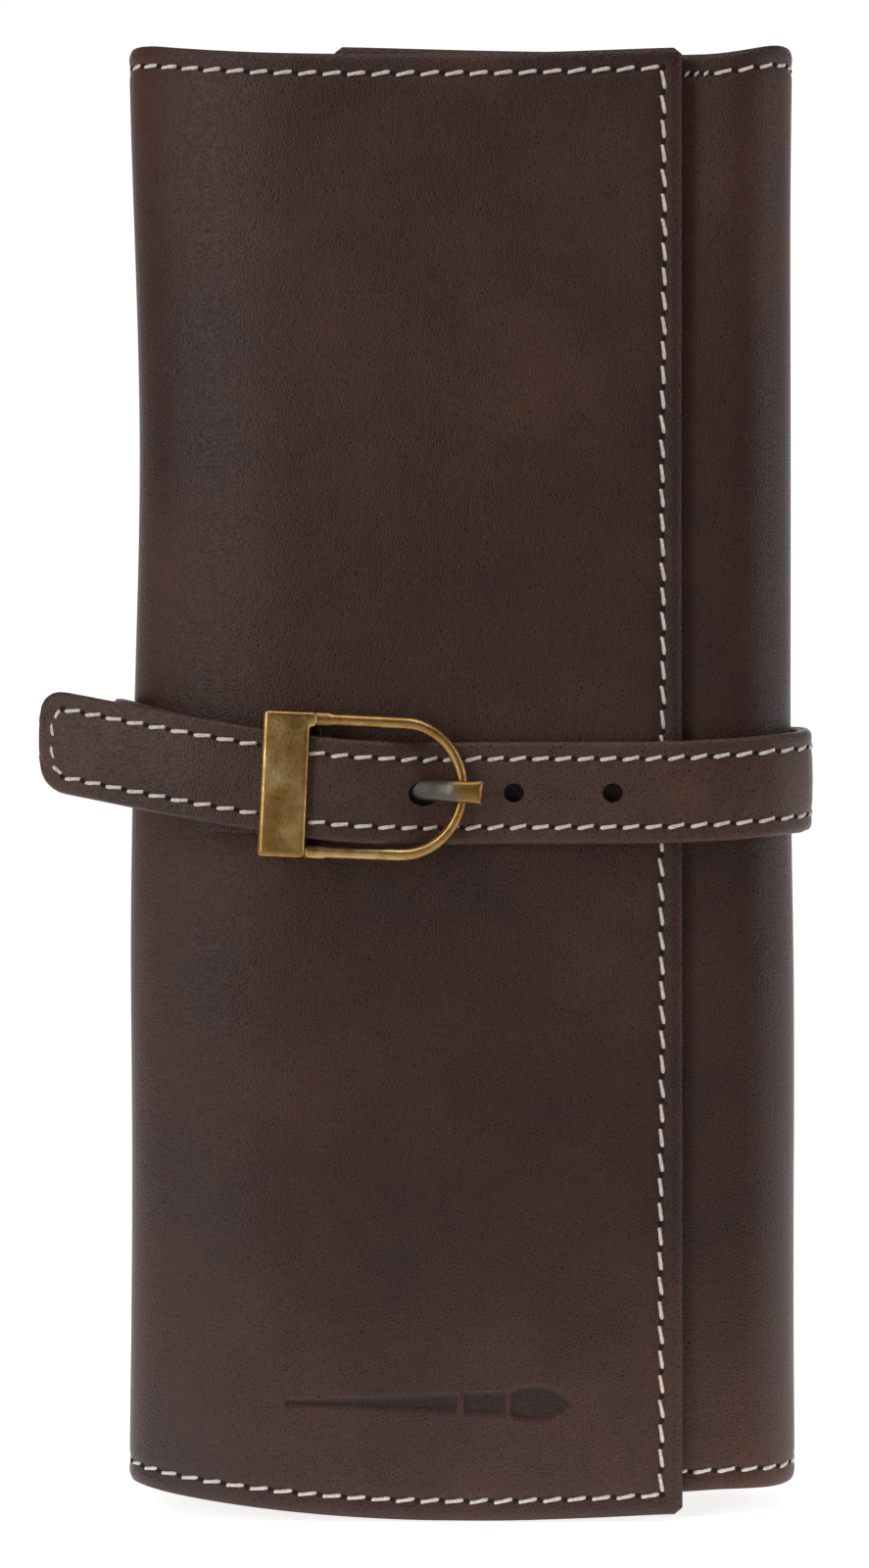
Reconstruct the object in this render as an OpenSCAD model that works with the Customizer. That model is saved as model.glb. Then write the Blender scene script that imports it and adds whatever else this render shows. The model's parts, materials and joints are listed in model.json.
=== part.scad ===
// Brush roll case: a leather tri-fold closed by a buckled strap.
// It stands on its bottom edge. X is its width, Z its height, and the front faces -Y.
// Depths are given as h, measured forwards (-Y) from the outer face of the back panel.

/* [Case] */
// Width of the closed case, over both folds
case_w = 101; // [90:1:130]
// Height of the case
case_h = 220; // [180:1:270]
// Thickness of the closed case, back face to front face
case_t = 28; // [22:1:40]
// Distance from the right fold back to the front flap's free edge
flap_setback = 18; // [12:0.1:30]
// Length of the inner flap, from the right fold to its free edge
inner_len = 69.5; // [55:0.1:80]
// Thickness of the outer leather
leather_t = 1.4; // [1:0.1:2]
// Thickness of the lining
lining_t = 0.8; // [0.5:0.1:1.2]
// Distance from an edge to its row of stitches
seam_inset = 3; // [2:0.1:5]

/* [Pockets] */
// Height of the brush pocket panel
pocket_h = 132; // [90:1:150]
// Number of brush pockets
pocket_count = 6; // [3:1:8]
// Thickness of the pocket cloth
pocket_t = 1; // [0.6:0.1:1.6]

/* [Strap] */
// Width of the strap
strap_w = 15; // [10:0.5:17]
// Thickness of the strap's outer leather
strap_outer_t = 1.3; // [0.8:0.1:1.4]
// Thickness of the strap's backing leather
strap_backing_t = 0.9; // [0.6:0.1:1]
// Height of the strap's centre line above the bottom edge
strap_z = 108.5; // [60:0.5:120]
// Length of the strap's free end past the buckle
tail_len = 32.8; // [20:0.1:45]
// Distance between the strap's holes
hole_pitch = 14.5; // [10:0.5:18]
// Radius of the strap's holes
hole_r = 1.5; // [1:0.1:2]

/* [Buckle] */
// How far the buckle frame reaches past each edge of the strap
frame_rim = 3.1; // [2.9:0.1:6]
// Length of the buckle frame, along the strap
frame_len = 30.3; // [28:0.1:40]
// Diameter of the frame's wire
wire_d = 2; // [1.8:0.1:2.6]
// Width of the flat sleeve, along the strap
sleeve_w = 6.8; // [6:0.1:10]
// Distance from the left fold to the sleeve
buckle_inset = 21.2; // [18:0.1:26]
// Radius of the bar that the prong turns on
bar_r = 0.8; // [0.6:0.05:1]
// Width of the prong
prong_w = 3.2; // [2:0.1:3.4]
// Slant of the buckle on the case, in degrees
buckle_tilt = 2.5; // [0:0.5:4]

/* [Hidden] */
$fn = 48;

gap = 0.3;                           // room between pieces on different bodies
run_fit = 0.05;                      // room all round the bar in what turns on it
thread_t = 0.25;                     // how far a row of stitches stands proud
thread_w = 0.7;                      // width of a row of stitches
edge_x = case_w / 2;                 // both folds stand this far from the middle
back_y = leather_t / 2;              // outer face of the back panel
panel_t = leather_t + lining_t;      // one panel, leather and lining
inner_t = case_t - panel_t - gap;    // outer face of the inner flap
flap_edge_x = edge_x - flap_setback; // free edge of the front flap
inner_edge_x = edge_x - inner_len;   // free edge of the inner flap
fold_gap = 0.1;                      // hairline where one panel ends and the next begins
pocket_side = 4;                     // pocket panel to the folds' linings
pocket_w = case_w - 2 * (panel_t + pocket_side);
tape_t = 0.6;                        // tape on the pockets' mouth
binding_h = 6;                       // height of the tape on the pockets' mouth

strap_t = strap_outer_t + strap_backing_t;
strap_inset = 2.5;                   // strap edge to its row of stitches
strap_stand_off = 0.6;               // room between the right fold and the strap
side_end_h = case_t - 5.4;           // where the strap leaves the right fold
tongue_t = 1.1;                      // leather of the buckle strap's turned end
anchor_x = 11;                       // half the width of the stitched square on the back
chape_h = case_t + gap;              // underside of the buckle strap
tongue_back = 9;                     // how far the turned end lies past the sleeve
sleeve_x = buckle_inset - edge_x;    // left edge of the sleeve
frame_h = strap_w + 2 * frame_rim;   // height of the frame, across the strap
bar_sink = 0.6;                      // the bar's ends, below the walls' outer faces
bar_x = sleeve_x + sleeve_w + bar_r + 0.1;
bar_h = chape_h + tongue_t + run_fit + bar_r;
loop_r = bar_r + run_fit + tongue_t; // outside of the turned end, round the bar
tail_h = bar_h + loop_r + 0.1;       // underside of the tail in the sleeve
plate_h = tail_h + strap_t + 0.2;    // underside of the sleeve's plate
plate_t = 1.2;
wall_t = 2;
wall_drop = 0.95;                    // bottom of the sleeve's walls, below the bar's centre
ear_r = 1.9;                         // how far the walls' ears reach past the bar
wire_lift = 1.35;                    // the bow above the strap
wire_h = case_t + strap_t + gap + wire_d / 2 + wire_lift;
bow_r = frame_h / 2 - 1.6;           // corner radius of the frame's bow, at the wire's centre
bow_x = sleeve_x + frame_len - wire_d / 2;
prong_t = 1.8;
prong_end_x = sleeve_x + frame_len + 2;
prong_slot_w = prong_w + 1.8;        // room for the prong's slant
hole_back = 6.9;                     // from the bow to the hole in use
hole_x = bow_x - hole_back;
slot_len = 9.6;                      // that hole, drawn long by the prong

// The strap's line across the front, as [x, h] of the face between its two leathers.
line_h = case_t + gap + strap_backing_t;
front_line = [
    [edge_x + strap_stand_off + strap_backing_t, case_t - 4.4],
    [edge_x + 0.6, case_t - 1.6],
    [edge_x - 2.4, case_t - 0.1],
    [edge_x - 7, case_t + 0.4],
    [flap_edge_x + 1, line_h],
    [bow_x, line_h + 0.2],
    [hole_x + 3, line_h + 1.2],
    [hole_x, line_h + 2],
    [hole_x - 6, tail_h + strap_backing_t],
    [sleeve_x, tail_h + strap_backing_t]
];
tail_end_x = sleeve_x - tail_len;
tip_line = [
    [sleeve_x - gap, tail_h + strap_backing_t],
    [sleeve_x - tail_len * 0.3, tail_h + 0.8],
    [sleeve_x - tail_len * 0.6, tail_h],
    [sleeve_x - tail_len * 0.82, tail_h - 2.4],
    [tail_end_x, tail_h - 5.4]
];
// The prong's line, as [x, h] of its middle.
prong_line = [
    [bar_x, bar_h],
    [hole_x - 4.5, bar_h + 0.35],
    [hole_x - 1, line_h + 2.4],
    [hole_x + 2.5, wire_h + 0.4],
    [bow_x - 0.8, wire_h + wire_d / 2 + prong_t / 2 + 0.05],
    [prong_end_x, wire_h + wire_d / 2 + prong_t / 2 + 0.05]
];

// Unit normal of a line at point i, pointing to the side of larger h when x falls.
function side_of(p, i) =
    let (a = p[max(i - 1, 0)], b = p[min(i + 1, len(p) - 1)], d = b - a)
    [d[1], -d[0]] / norm(d);

// Closed outline between two offsets of a line.
function band(p, low, high) = concat(
    [for (i = [0:len(p) - 1]) p[i] + side_of(p, i) * low],
    [for (i = [len(p) - 1:-1:0]) p[i] + side_of(p, i) * high]
);

// A block between two depths.
module slab(x0, x1, h0, h1, z0, z1)
    translate([x0, back_y - h1, z0]) cube([x1 - x0, h1 - h0, z1 - z0]);

// A block of the strap's full width.
module strap_slab(x0, x1, h0, h1)
    slab(x0, x1, h0, h1, strap_z - strap_w / 2, strap_z + strap_w / 2);

// A band drawn in x and h, run along Z.
module run(outline, z, width)
    translate([0, back_y, z - width / 2]) linear_extrude(width) mirror([0, 1]) polygon(outline);

// Puts its children on the buckle's slant, about the bar.
module on_buckle()
    translate([bar_x, 0, strap_z]) rotate([0, buckle_tilt, 0]) translate([-bar_x, 0, -strap_z]) children();

// Top and bottom rows of stitches on a panel's outer face at depth h.
module edge_rows(x0, x1, h)
    for (z = [seam_inset, case_h - seam_inset])
        slab(x0, x1, h, h + thread_t, z - thread_w / 2, z + thread_w / 2);

// Two rows of stitches along a strap, on the outline of a band.
module strap_rows(outline)
    for (s = [-1, 1]) run(outline, strap_z + s * (strap_w / 2 - strap_inset), thread_w);

module back_leather() color("#4a322a")
    slab(-edge_x, edge_x, 0, leather_t, 0, case_h);
module back_lining() color("#6b5a4c")
    slab(-edge_x, edge_x, leather_t, panel_t, 0, case_h);
module back_thread() color("#d8c9b6")
    edge_rows(-edge_x + gap, edge_x - gap, -thread_t);
module pocket_panel() color("#5b4a3e")
    slab(-pocket_w / 2, pocket_w / 2, panel_t, panel_t + pocket_t, seam_inset, seam_inset + pocket_h);
module pocket_binding() color("#4a322a")
    slab(-pocket_w / 2, pocket_w / 2, panel_t + pocket_t, panel_t + pocket_t + tape_t,
        seam_inset + pocket_h - binding_h, seam_inset + pocket_h);
module pocket_thread() color("#d8c9b6")
    for (i = [0:pocket_count]) let (x = (i / pocket_count - 0.5) * (pocket_w - 3))
        slab(x - thread_w / 2, x + thread_w / 2, panel_t + pocket_t, panel_t + pocket_t + thread_t,
            seam_inset + 1, seam_inset + pocket_h - binding_h);

module strap_back() color("#54392f")
    strap_slab(-edge_x + gap, edge_x - gap, -strap_t, -strap_backing_t);
module strap_back_backing() color("#4f382f")
    strap_slab(-edge_x + gap, edge_x - gap, -strap_backing_t, 0);
module strap_back_thread() color("#d8c9b6")
    for (s = [-1, 1]) let (z = strap_z + s * (strap_w / 2 - strap_inset))
        slab(-edge_x + gap, edge_x - gap, -strap_t - thread_t, -strap_t,
            z - thread_w / 2, z + thread_w / 2);
// The square of stitches that holds the strap to the back panel.
module strap_anchor_thread() color("#d8c9b6")
    for (s = [-1, 1]) slab(s * anchor_x - thread_w / 2, s * anchor_x + thread_w / 2,
        -strap_t - thread_t, -strap_t, strap_z - strap_w / 2 + strap_inset + thread_w, strap_z + strap_w / 2 - strap_inset - thread_w);

module left_fold_leather() color("#4a322a")
    slab(-edge_x, -edge_x + leather_t, panel_t + fold_gap, case_t - panel_t - fold_gap, 0, case_h);
module left_fold_lining() color("#6b5a4c")
    slab(-edge_x + leather_t, -edge_x + panel_t, panel_t + fold_gap, case_t - panel_t - fold_gap,
        0, case_h);
module left_fold_thread() color("#d8c9b6")
    for (z = [seam_inset, case_h - seam_inset])
        slab(-edge_x - thread_t, -edge_x, panel_t + fold_gap, case_t - panel_t - fold_gap,
            z - thread_w / 2, z + thread_w / 2);
module buckle_strap_side() color("#54392f")
    strap_slab(-edge_x - strap_t, -edge_x, gap, case_t - gap);

module flap_leather() color("#4a322a")
    slab(-edge_x, flap_edge_x, case_t - leather_t, case_t, 0, case_h);
module flap_lining() color("#6b5a4c")
    slab(-edge_x, flap_edge_x, case_t - panel_t, case_t - leather_t, 0, case_h);
module flap_thread() color("#d8c9b6") {
    edge_rows(-edge_x + gap, flap_edge_x - seam_inset, case_t);
    slab(flap_edge_x - seam_inset, flap_edge_x - seam_inset + thread_w, case_t, case_t + thread_t,
        seam_inset - thread_w / 2, case_h - seam_inset + thread_w / 2);
}

// The short strap that holds the buckle. Its end turns round the bar in two lugs, the prong between them.
module buckle_strap() color("#54392f") on_buckle() difference() {
    union() {
        run([
            [-edge_x + gap, chape_h], [bar_x, chape_h], [bar_x, chape_h + tongue_t],
            [sleeve_x, chape_h + tongue_t], [sleeve_x, bar_h + loop_r - tongue_t],
            [bar_x, bar_h + loop_r - tongue_t], [bar_x, bar_h + loop_r], [sleeve_x, bar_h + loop_r],
            [sleeve_x - tongue_back, chape_h + 2 * tongue_t], [-edge_x + gap, chape_h + 2 * tongue_t]
        ], strap_z, strap_w);
        translate([bar_x, back_y - bar_h, strap_z - strap_w / 2]) cylinder(r = loop_r, h = strap_w);
    }
    translate([bar_x, back_y - bar_h, strap_z - strap_w]) cylinder(r = bar_r + run_fit, h = 2 * strap_w);
    slab(sleeve_x + 2, bar_x + loop_r + 1, chape_h - 1, bar_h + loop_r + 1,
        strap_z - prong_slot_w / 2, strap_z + prong_slot_w / 2);
}
module buckle_strap_thread() color("#d8c9b6") on_buckle()
    for (s = [-1, 1]) let (z = strap_z + s * (strap_w / 2 - strap_inset))
        slab(-edge_x + gap, sleeve_x - tongue_back - 1,
            chape_h + 2 * tongue_t, chape_h + 2 * tongue_t + thread_t, z - thread_w / 2, z + thread_w / 2);

// One side of the frame: a wall of the sleeve, a straight wire and a quarter of the bow.
module frame_side() {
    difference() {
        union() {
            slab(sleeve_x, sleeve_x + sleeve_w, bar_h - wall_drop, plate_h,
                strap_z + frame_h / 2 - wall_t, strap_z + frame_h / 2);
            slab(sleeve_x, bar_x + ear_r, bar_h - wall_drop, wire_h,
                strap_z + frame_h / 2 - wall_t, strap_z + frame_h / 2);
        }
        translate([bar_x, back_y - bar_h, strap_z]) cylinder(r = bar_r, h = frame_h / 2 - bar_sink);
    }
    translate([0, back_y - wire_h, strap_z]) {
        translate([sleeve_x + sleeve_w - 1, 0, (frame_h - wire_d) / 2]) rotate([0, 90, 0])
            cylinder(d = wire_d, h = bow_x - bow_r - sleeve_x - sleeve_w + 1);
        translate([bow_x - bow_r, 0, (frame_h - wire_d) / 2 - bow_r]) rotate([90, 0, 0])
            rotate_extrude(angle = 90) translate([bow_r, 0]) circle(d = wire_d);
        translate([bow_x, 0, 0]) cylinder(d = wire_d, h = (frame_h - wire_d) / 2 - bow_r);
    }
}
module buckle_frame() color("#a8863f") on_buckle() {
    slab(sleeve_x, sleeve_x + sleeve_w, plate_h, plate_h + plate_t,
        strap_z - frame_h / 2, strap_z + frame_h / 2);
    frame_side();
    translate([0, 0, 2 * strap_z]) mirror([0, 0, 1]) frame_side();
}
module buckle_bar() color("#8a8580") on_buckle()
    translate([bar_x, back_y - bar_h, strap_z - frame_h / 2 + bar_sink])
        cylinder(r = bar_r, h = frame_h - 2 * bar_sink);
module buckle_prong() color("#8f8a83") on_buckle() difference() {
    union() {
        run(band(prong_line, -prong_t / 2, prong_t / 2), strap_z, prong_w);
        translate([bar_x, back_y - bar_h, strap_z - prong_w / 2]) cylinder(r = bar_r + 1, h = prong_w);
    }
    translate([bar_x, back_y - bar_h, strap_z - prong_w]) cylinder(r = bar_r + run_fit, h = 2 * prong_w);
}

module right_fold_leather() color("#4a322a")
    slab(edge_x - leather_t, edge_x, panel_t + fold_gap, inner_t - panel_t - fold_gap, 0, case_h);
module right_fold_lining() color("#6b5a4c")
    slab(edge_x - panel_t, edge_x - leather_t, panel_t + fold_gap, inner_t - panel_t - fold_gap, 0, case_h);
module right_fold_thread() color("#d8c9b6")
    for (z = [seam_inset, case_h - seam_inset])
        slab(edge_x, edge_x + thread_t, panel_t + fold_gap, inner_t - panel_t - fold_gap,
            z - thread_w / 2, z + thread_w / 2);
module strap_side() color("#54392f")
    strap_slab(edge_x + strap_stand_off + strap_backing_t, edge_x + strap_stand_off + strap_t,
        gap, side_end_h);
module strap_side_backing() color("#4f382f")
    strap_slab(edge_x + strap_stand_off, edge_x + strap_stand_off + strap_backing_t, gap, side_end_h);

module inner_flap_leather() color("#4a322a")
    slab(inner_edge_x, edge_x, inner_t - leather_t, inner_t, 0, case_h);
module inner_flap_lining() color("#6b5a4c")
    slab(inner_edge_x, edge_x, inner_t - panel_t, inner_t - leather_t, 0, case_h);
module inner_flap_thread() color("#d8c9b6")
    edge_rows(flap_edge_x + gap, edge_x - gap, inner_t);

// The holes in the strap. The one in use is drawn long by the prong.
module strap_holes() {
    for (i = [1, 2]) translate([hole_x + i * hole_pitch, back_y - case_t + 5, strap_z]) rotate([90, 0, 0])
        cylinder(r = hole_r, h = 15);
    slab(hole_x - slot_len / 2, hole_x + slot_len / 2, case_t - 5, case_t + 15,
        strap_z - prong_slot_w / 2, strap_z + prong_slot_w / 2);
}
module strap_front() color("#54392f") difference() {
    run(band(front_line, 0, strap_outer_t), strap_z, strap_w);
    strap_holes();
}
module strap_front_backing() color("#4f382f") difference() {
    run(band(front_line, -strap_backing_t, 0), strap_z, strap_w);
    strap_holes();
}
module strap_front_thread() color("#d8c9b6")
    strap_rows(band([for (i = [3:7]) front_line[i]], strap_outer_t, strap_outer_t + thread_t));
module strap_tip() color("#54392f")
    run(band(tip_line, 0, strap_outer_t), strap_z, strap_w);
module strap_tip_backing() color("#4f382f")
    run(band(tip_line, -strap_backing_t, 0), strap_z, strap_w);
module strap_tip_thread() color("#d8c9b6")
    strap_rows(band([for (i = [0:3]) tip_line[i]], strap_outer_t, strap_outer_t + thread_t));

back_leather();
back_lining();
back_thread();
pocket_panel();
pocket_binding();
pocket_thread();
strap_back();
strap_back_backing();
strap_back_thread();
strap_anchor_thread();
left_fold_leather();
left_fold_lining();
left_fold_thread();
buckle_strap_side();
flap_leather();
flap_lining();
flap_thread();
buckle_strap();
buckle_strap_thread();
buckle_frame();
buckle_bar();
buckle_prong();
right_fold_leather();
right_fold_lining();
right_fold_thread();
strap_side();
strap_side_backing();
inner_flap_leather();
inner_flap_lining();
inner_flap_thread();
strap_front();
strap_front_backing();
strap_front_thread();
strap_tip();
strap_tip_backing();
strap_tip_thread();
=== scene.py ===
"""A brush roll case: a leather tri-fold with a buckled strap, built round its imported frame.

Lengths are in millimetres until a mesh is made. In plan a point is (x, h): x runs across the case
and h forwards from the outer face of its back, as in the frame's source.
"""

import json
import logging
import math
import random
from dataclasses import dataclass, field
from enum import Enum
from typing import Callable, Optional, Sequence

import bmesh
import bpy
import numpy as np
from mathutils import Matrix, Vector


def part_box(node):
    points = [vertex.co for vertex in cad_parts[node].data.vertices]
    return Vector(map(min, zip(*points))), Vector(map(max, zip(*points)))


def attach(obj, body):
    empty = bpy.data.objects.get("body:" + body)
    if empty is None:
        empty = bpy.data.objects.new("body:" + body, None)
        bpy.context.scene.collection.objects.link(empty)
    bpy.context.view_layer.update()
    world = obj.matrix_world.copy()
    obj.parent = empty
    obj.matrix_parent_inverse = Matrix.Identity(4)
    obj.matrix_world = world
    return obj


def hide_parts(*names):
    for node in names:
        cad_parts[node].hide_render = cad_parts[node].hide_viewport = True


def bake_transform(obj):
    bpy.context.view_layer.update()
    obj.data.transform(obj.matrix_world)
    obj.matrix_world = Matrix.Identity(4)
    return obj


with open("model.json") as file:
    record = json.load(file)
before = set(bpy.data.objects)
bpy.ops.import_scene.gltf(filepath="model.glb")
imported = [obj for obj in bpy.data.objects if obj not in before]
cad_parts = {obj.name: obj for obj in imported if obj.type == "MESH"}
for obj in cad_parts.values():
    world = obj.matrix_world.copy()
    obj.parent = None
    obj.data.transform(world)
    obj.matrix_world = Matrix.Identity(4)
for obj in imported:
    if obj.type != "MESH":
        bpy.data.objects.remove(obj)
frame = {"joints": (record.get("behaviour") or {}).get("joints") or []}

LOG = logging.getLogger("brush_roll")
MM = 0.001
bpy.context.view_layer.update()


class Body(Enum):
    """The moving bodies of the frame."""

    BACK = "case_back"
    LEFT = "left_fold"
    FLAP = "front_flap"
    BUCKLE = "buckle"
    PRONG = "prong"
    RIGHT = "right_fold"
    INNER = "inner_flap"
    RUN = "strap_run"
    END = "strap_end"


class Slot(Enum):
    """The record's material slots."""

    CASE = "case_leather"
    STRAP = "strap_leather"
    LINING = "lining"
    THREAD = "thread"
    BRASS = "antique_brass"
    STEEL = "steel"


# ---------------------------------------------------------------- finishes


def linear(hex_colour: str) -> tuple[float, float, float, float]:
    """Turns an sRGB hex colour into linear RGBA.

    Args:
        hex_colour: Six hex digits after a hash.

    Returns:
        Linear red, green, blue and an alpha of 1.
    """
    parts = [int(hex_colour[i : i + 2], 16) / 255 for i in (1, 3, 5)]
    red, green, blue = (c / 12.92 if c <= 0.04045 else ((c + 0.055) / 1.055) ** 2.4 for c in parts)
    return red, green, blue, 1.0


def add_node(tree: bpy.types.NodeTree, kind: str, settings: dict, links: dict) -> bpy.types.Node:
    """Adds one node to a tree.

    Args:
        tree: The tree it goes into.
        kind: Blender's name for the node's type.
        settings: Its properties and the values of its inputs, by name or number. For a colour ramp, "stops"
            holds pairs of a place from 0 to 1 and a hex colour.
        links: Its inputs, by name or number, each with the output socket that feeds it.

    Returns:
        The new node.
    """
    node = tree.nodes.new(kind)
    for key, value in settings.items():
        if key == "stops":
            while len(node.color_ramp.elements) < len(value):
                node.color_ramp.elements.new(0.5)
            for element, (place, colour) in zip(node.color_ramp.elements, value):
                element.position = place
                element.color = linear(colour)
        elif isinstance(key, str) and hasattr(node, key):
            setattr(node, key, value)
        else:
            node.inputs[key].default_value = value
    for key, socket in links.items():
        tree.links.new(socket, node.inputs[key])
    return node


def per_metre(size_mm: float) -> float:
    """Scale of a texture whose features are size_mm across."""
    return 1 / (size_mm * MM)


@dataclass(frozen=True)
class Finish:
    """A material: what the piece is made of and how its surface was made."""

    name: str
    slot: Slot
    roughness: float

    def shade(self, tree: bpy.types.NodeTree, shader: bpy.types.Node, place: bpy.types.NodeSocket) -> None:
        """Adds what the finish shows to a tree.

        Args:
            tree: The material's tree.
            shader: Its Principled node.
            place: The point on the piece, in metres.
        """
        raise NotImplementedError

    def material(self) -> bpy.types.Material:
        """Makes the finish's material once, and returns it."""
        made = bpy.data.materials.get(self.name)
        if made:
            return made
        made = bpy.data.materials.new(self.name)
        made.use_nodes = True
        tree = made.node_tree
        shader = tree.nodes["Principled BSDF"]
        shader.inputs["Roughness"].default_value = self.roughness
        place = add_node(tree, "ShaderNodeTexCoord", {}, {}).outputs["Object"]
        self.shade(tree, shader, place)
        return made


@dataclass(frozen=True)
class Leather(Finish):
    """Full-grain cowhide, drum dyed and waxed. Its fine grain and cloudy dye make the brown uneven, and the
    wax gives a soft, broad gloss."""

    dark: str = "#2d1a17"
    middle: str = "#38201a"
    light: str = "#44281c"
    grain_mm: float = 0.5
    cloud_mm: float = 34.0
    uneven: float = 0.07

    def shade(self, tree: bpy.types.NodeTree, shader: bpy.types.Node, place: bpy.types.NodeSocket) -> None:
        """Adds cloudy dye, grain, pores and pressed marks, darkened there with painted shade."""
        shader.inputs["IOR"].default_value = 1.42
        cloud = add_node(
            tree, "ShaderNodeTexNoise", {"Scale": per_metre(self.cloud_mm), "Detail": 5.0, "Roughness": 0.62},
            {"Vector": place},
        ).outputs["Fac"]
        dye = add_node(
            tree, "ShaderNodeValToRGB",
            {"stops": [(0.34, self.dark), (0.52, self.middle), (0.7, self.light)]}, {"Fac": cloud},
        ).outputs["Color"]
        warp = add_node(
            tree, "ShaderNodeTexNoise", {"Scale": per_metre(2.2), "Detail": 2.0}, {"Vector": place}
        ).outputs["Color"]
        shifted = add_node(
            tree, "ShaderNodeMix", {"data_type": "VECTOR", "Factor": 0.0006}, {4: place, 5: warp}
        ).outputs[1]
        cells = add_node(
            tree, "ShaderNodeTexVoronoi",
            {"feature": "DISTANCE_TO_EDGE", "Scale": per_metre(self.grain_mm), "Randomness": 1.0},
            {"Vector": shifted},
        ).outputs["Distance"]
        ridges = add_node(
            tree, "ShaderNodeMapRange", {"From Min": 0.0, "From Max": 0.4, "To Min": 1.0, "To Max": 0.0},
            {"Value": cells},
        ).outputs["Result"]
        fine = add_node(
            tree, "ShaderNodeTexNoise", {"Scale": per_metre(0.45), "Detail": 3.0, "Roughness": 0.7},
            {"Vector": place},
        ).outputs["Fac"]
        height = add_node(
            tree, "ShaderNodeMath", {"operation": "MULTIPLY_ADD", 1: 0.55}, {0: ridges, 2: fine}
        ).outputs["Value"]
        press = add_node(tree, "ShaderNodeAttribute", {"attribute_name": "press"}, {}).outputs["Fac"]
        speck = add_node(
            tree, "ShaderNodeMapRange", {"From Min": 0.35, "From Max": 0.95, "To Min": 0.2, "To Max": 1.5},
            {"Value": height},
        ).outputs["Result"]
        # Painted shade: where the stamp is pressed in, the colour is made up to half as bright.
        pressed = add_node(
            tree, "ShaderNodeMapRange", {"From Min": 0.0, "From Max": 1.0, "To Min": 1.0, "To Max": 0.5},
            {"Value": press},
        ).outputs["Result"]
        tone = add_node(
            tree, "ShaderNodeMath", {"operation": "MULTIPLY"}, {0: speck, 1: pressed}
        ).outputs["Value"]
        colour = add_node(
            tree, "ShaderNodeVectorMath", {"operation": "SCALE"}, {0: dye, "Scale": tone}
        ).outputs["Vector"]
        tree.links.new(colour, shader.inputs["Base Color"])
        gloss = add_node(
            tree, "ShaderNodeMapRange",
            {"From Min": 0.3, "From Max": 0.7, "To Min": self.roughness - self.uneven,
             "To Max": self.roughness + self.uneven},
            {"Value": cloud},
        ).outputs["Result"]
        tree.links.new(gloss, shader.inputs["Roughness"])
        bump = add_node(
            tree, "ShaderNodeBump", {"Strength": 0.45, "Distance": 0.00022}, {"Height": height}
        ).outputs["Normal"]
        tree.links.new(bump, shader.inputs["Normal"])


@dataclass(frozen=True)
class Twill(Finish):
    """Cotton lining woven as a 2-and-2 twill, whose slanted ribs show as fine diagonal lines."""

    warp_colour: str = "#6a5342"
    weft_colour: str = "#4a382c"
    rib_mm: float = 1.3

    def shade(self, tree: bpy.types.NodeTree, shader: bpy.types.Node, place: bpy.types.NodeSocket) -> None:
        """Adds slanted ribs, coarser than real ones so that they show, and slubs."""
        ribs = add_node(
            tree, "ShaderNodeTexWave",
            {"bands_direction": "DIAGONAL", "Scale": per_metre(self.rib_mm) * math.pi / 5, "Distortion": 0.6,
             "Detail": 1.0, "Detail Scale": 4.0},
            {"Vector": place},
        ).outputs["Fac"]
        slub = add_node(
            tree, "ShaderNodeTexNoise", {"Scale": per_metre(1.4), "Detail": 4.0}, {"Vector": place}
        ).outputs["Fac"]
        both = add_node(
            tree, "ShaderNodeMath", {"operation": "MULTIPLY_ADD", 1: 0.6}, {0: ribs, 2: slub}
        ).outputs["Value"]
        colour = add_node(
            tree, "ShaderNodeValToRGB", {"stops": [(0.35, self.weft_colour), (0.95, self.warp_colour)]},
            {"Fac": both},
        ).outputs["Color"]
        tree.links.new(colour, shader.inputs["Base Color"])
        shader.inputs["Sheen Weight"].default_value = 0.25
        bump = add_node(
            tree, "ShaderNodeBump", {"Strength": 0.5, "Distance": 0.00015}, {"Height": both}
        ).outputs["Normal"]
        tree.links.new(bump, shader.inputs["Normal"])


@dataclass(frozen=True)
class WaxedThread(Finish):
    """Thick linen-look polyester thread, waxed: off-white, with faint dirt between its plies."""

    clean: str = "#f1e6da"
    soiled: str = "#c9b9a8"

    def shade(self, tree: bpy.types.NodeTree, shader: bpy.types.Node, place: bpy.types.NodeSocket) -> None:
        """Adds fibres and uneven whiteness."""
        fibre = add_node(
            tree, "ShaderNodeTexNoise", {"Scale": per_metre(0.35), "Detail": 3.0}, {"Vector": place}
        ).outputs["Fac"]
        colour = add_node(
            tree, "ShaderNodeValToRGB", {"stops": [(0.3, self.soiled), (0.6, self.clean)]}, {"Fac": fibre}
        ).outputs["Color"]
        tree.links.new(colour, shader.inputs["Base Color"])
        bump = add_node(
            tree, "ShaderNodeBump", {"Strength": 0.35, "Distance": 0.0001}, {"Height": fibre}
        ).outputs["Normal"]
        tree.links.new(bump, shader.inputs["Normal"])


@dataclass(frozen=True)
class NeedleHole(Finish):
    """Painted shade: the near-black of a needle hole's inside, where no light gets into the leather."""

    colour: str = "#140b09"
    deepest: str = "#0c0605"

    def shade(self, tree: bpy.types.NodeTree, shader: bpy.types.Node, place: bpy.types.NodeSocket) -> None:
        """Adds a slightly uneven near-black, as painted shade."""
        grain = add_node(
            tree, "ShaderNodeTexNoise", {"Scale": per_metre(0.5), "Detail": 1.0}, {"Vector": place}
        ).outputs["Fac"]
        colour = add_node(
            tree, "ShaderNodeValToRGB", {"stops": [(0.4, self.deepest), (0.7, self.colour)]}, {"Fac": grain}
        ).outputs["Color"]
        tree.links.new(colour, shader.inputs["Base Color"])


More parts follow.
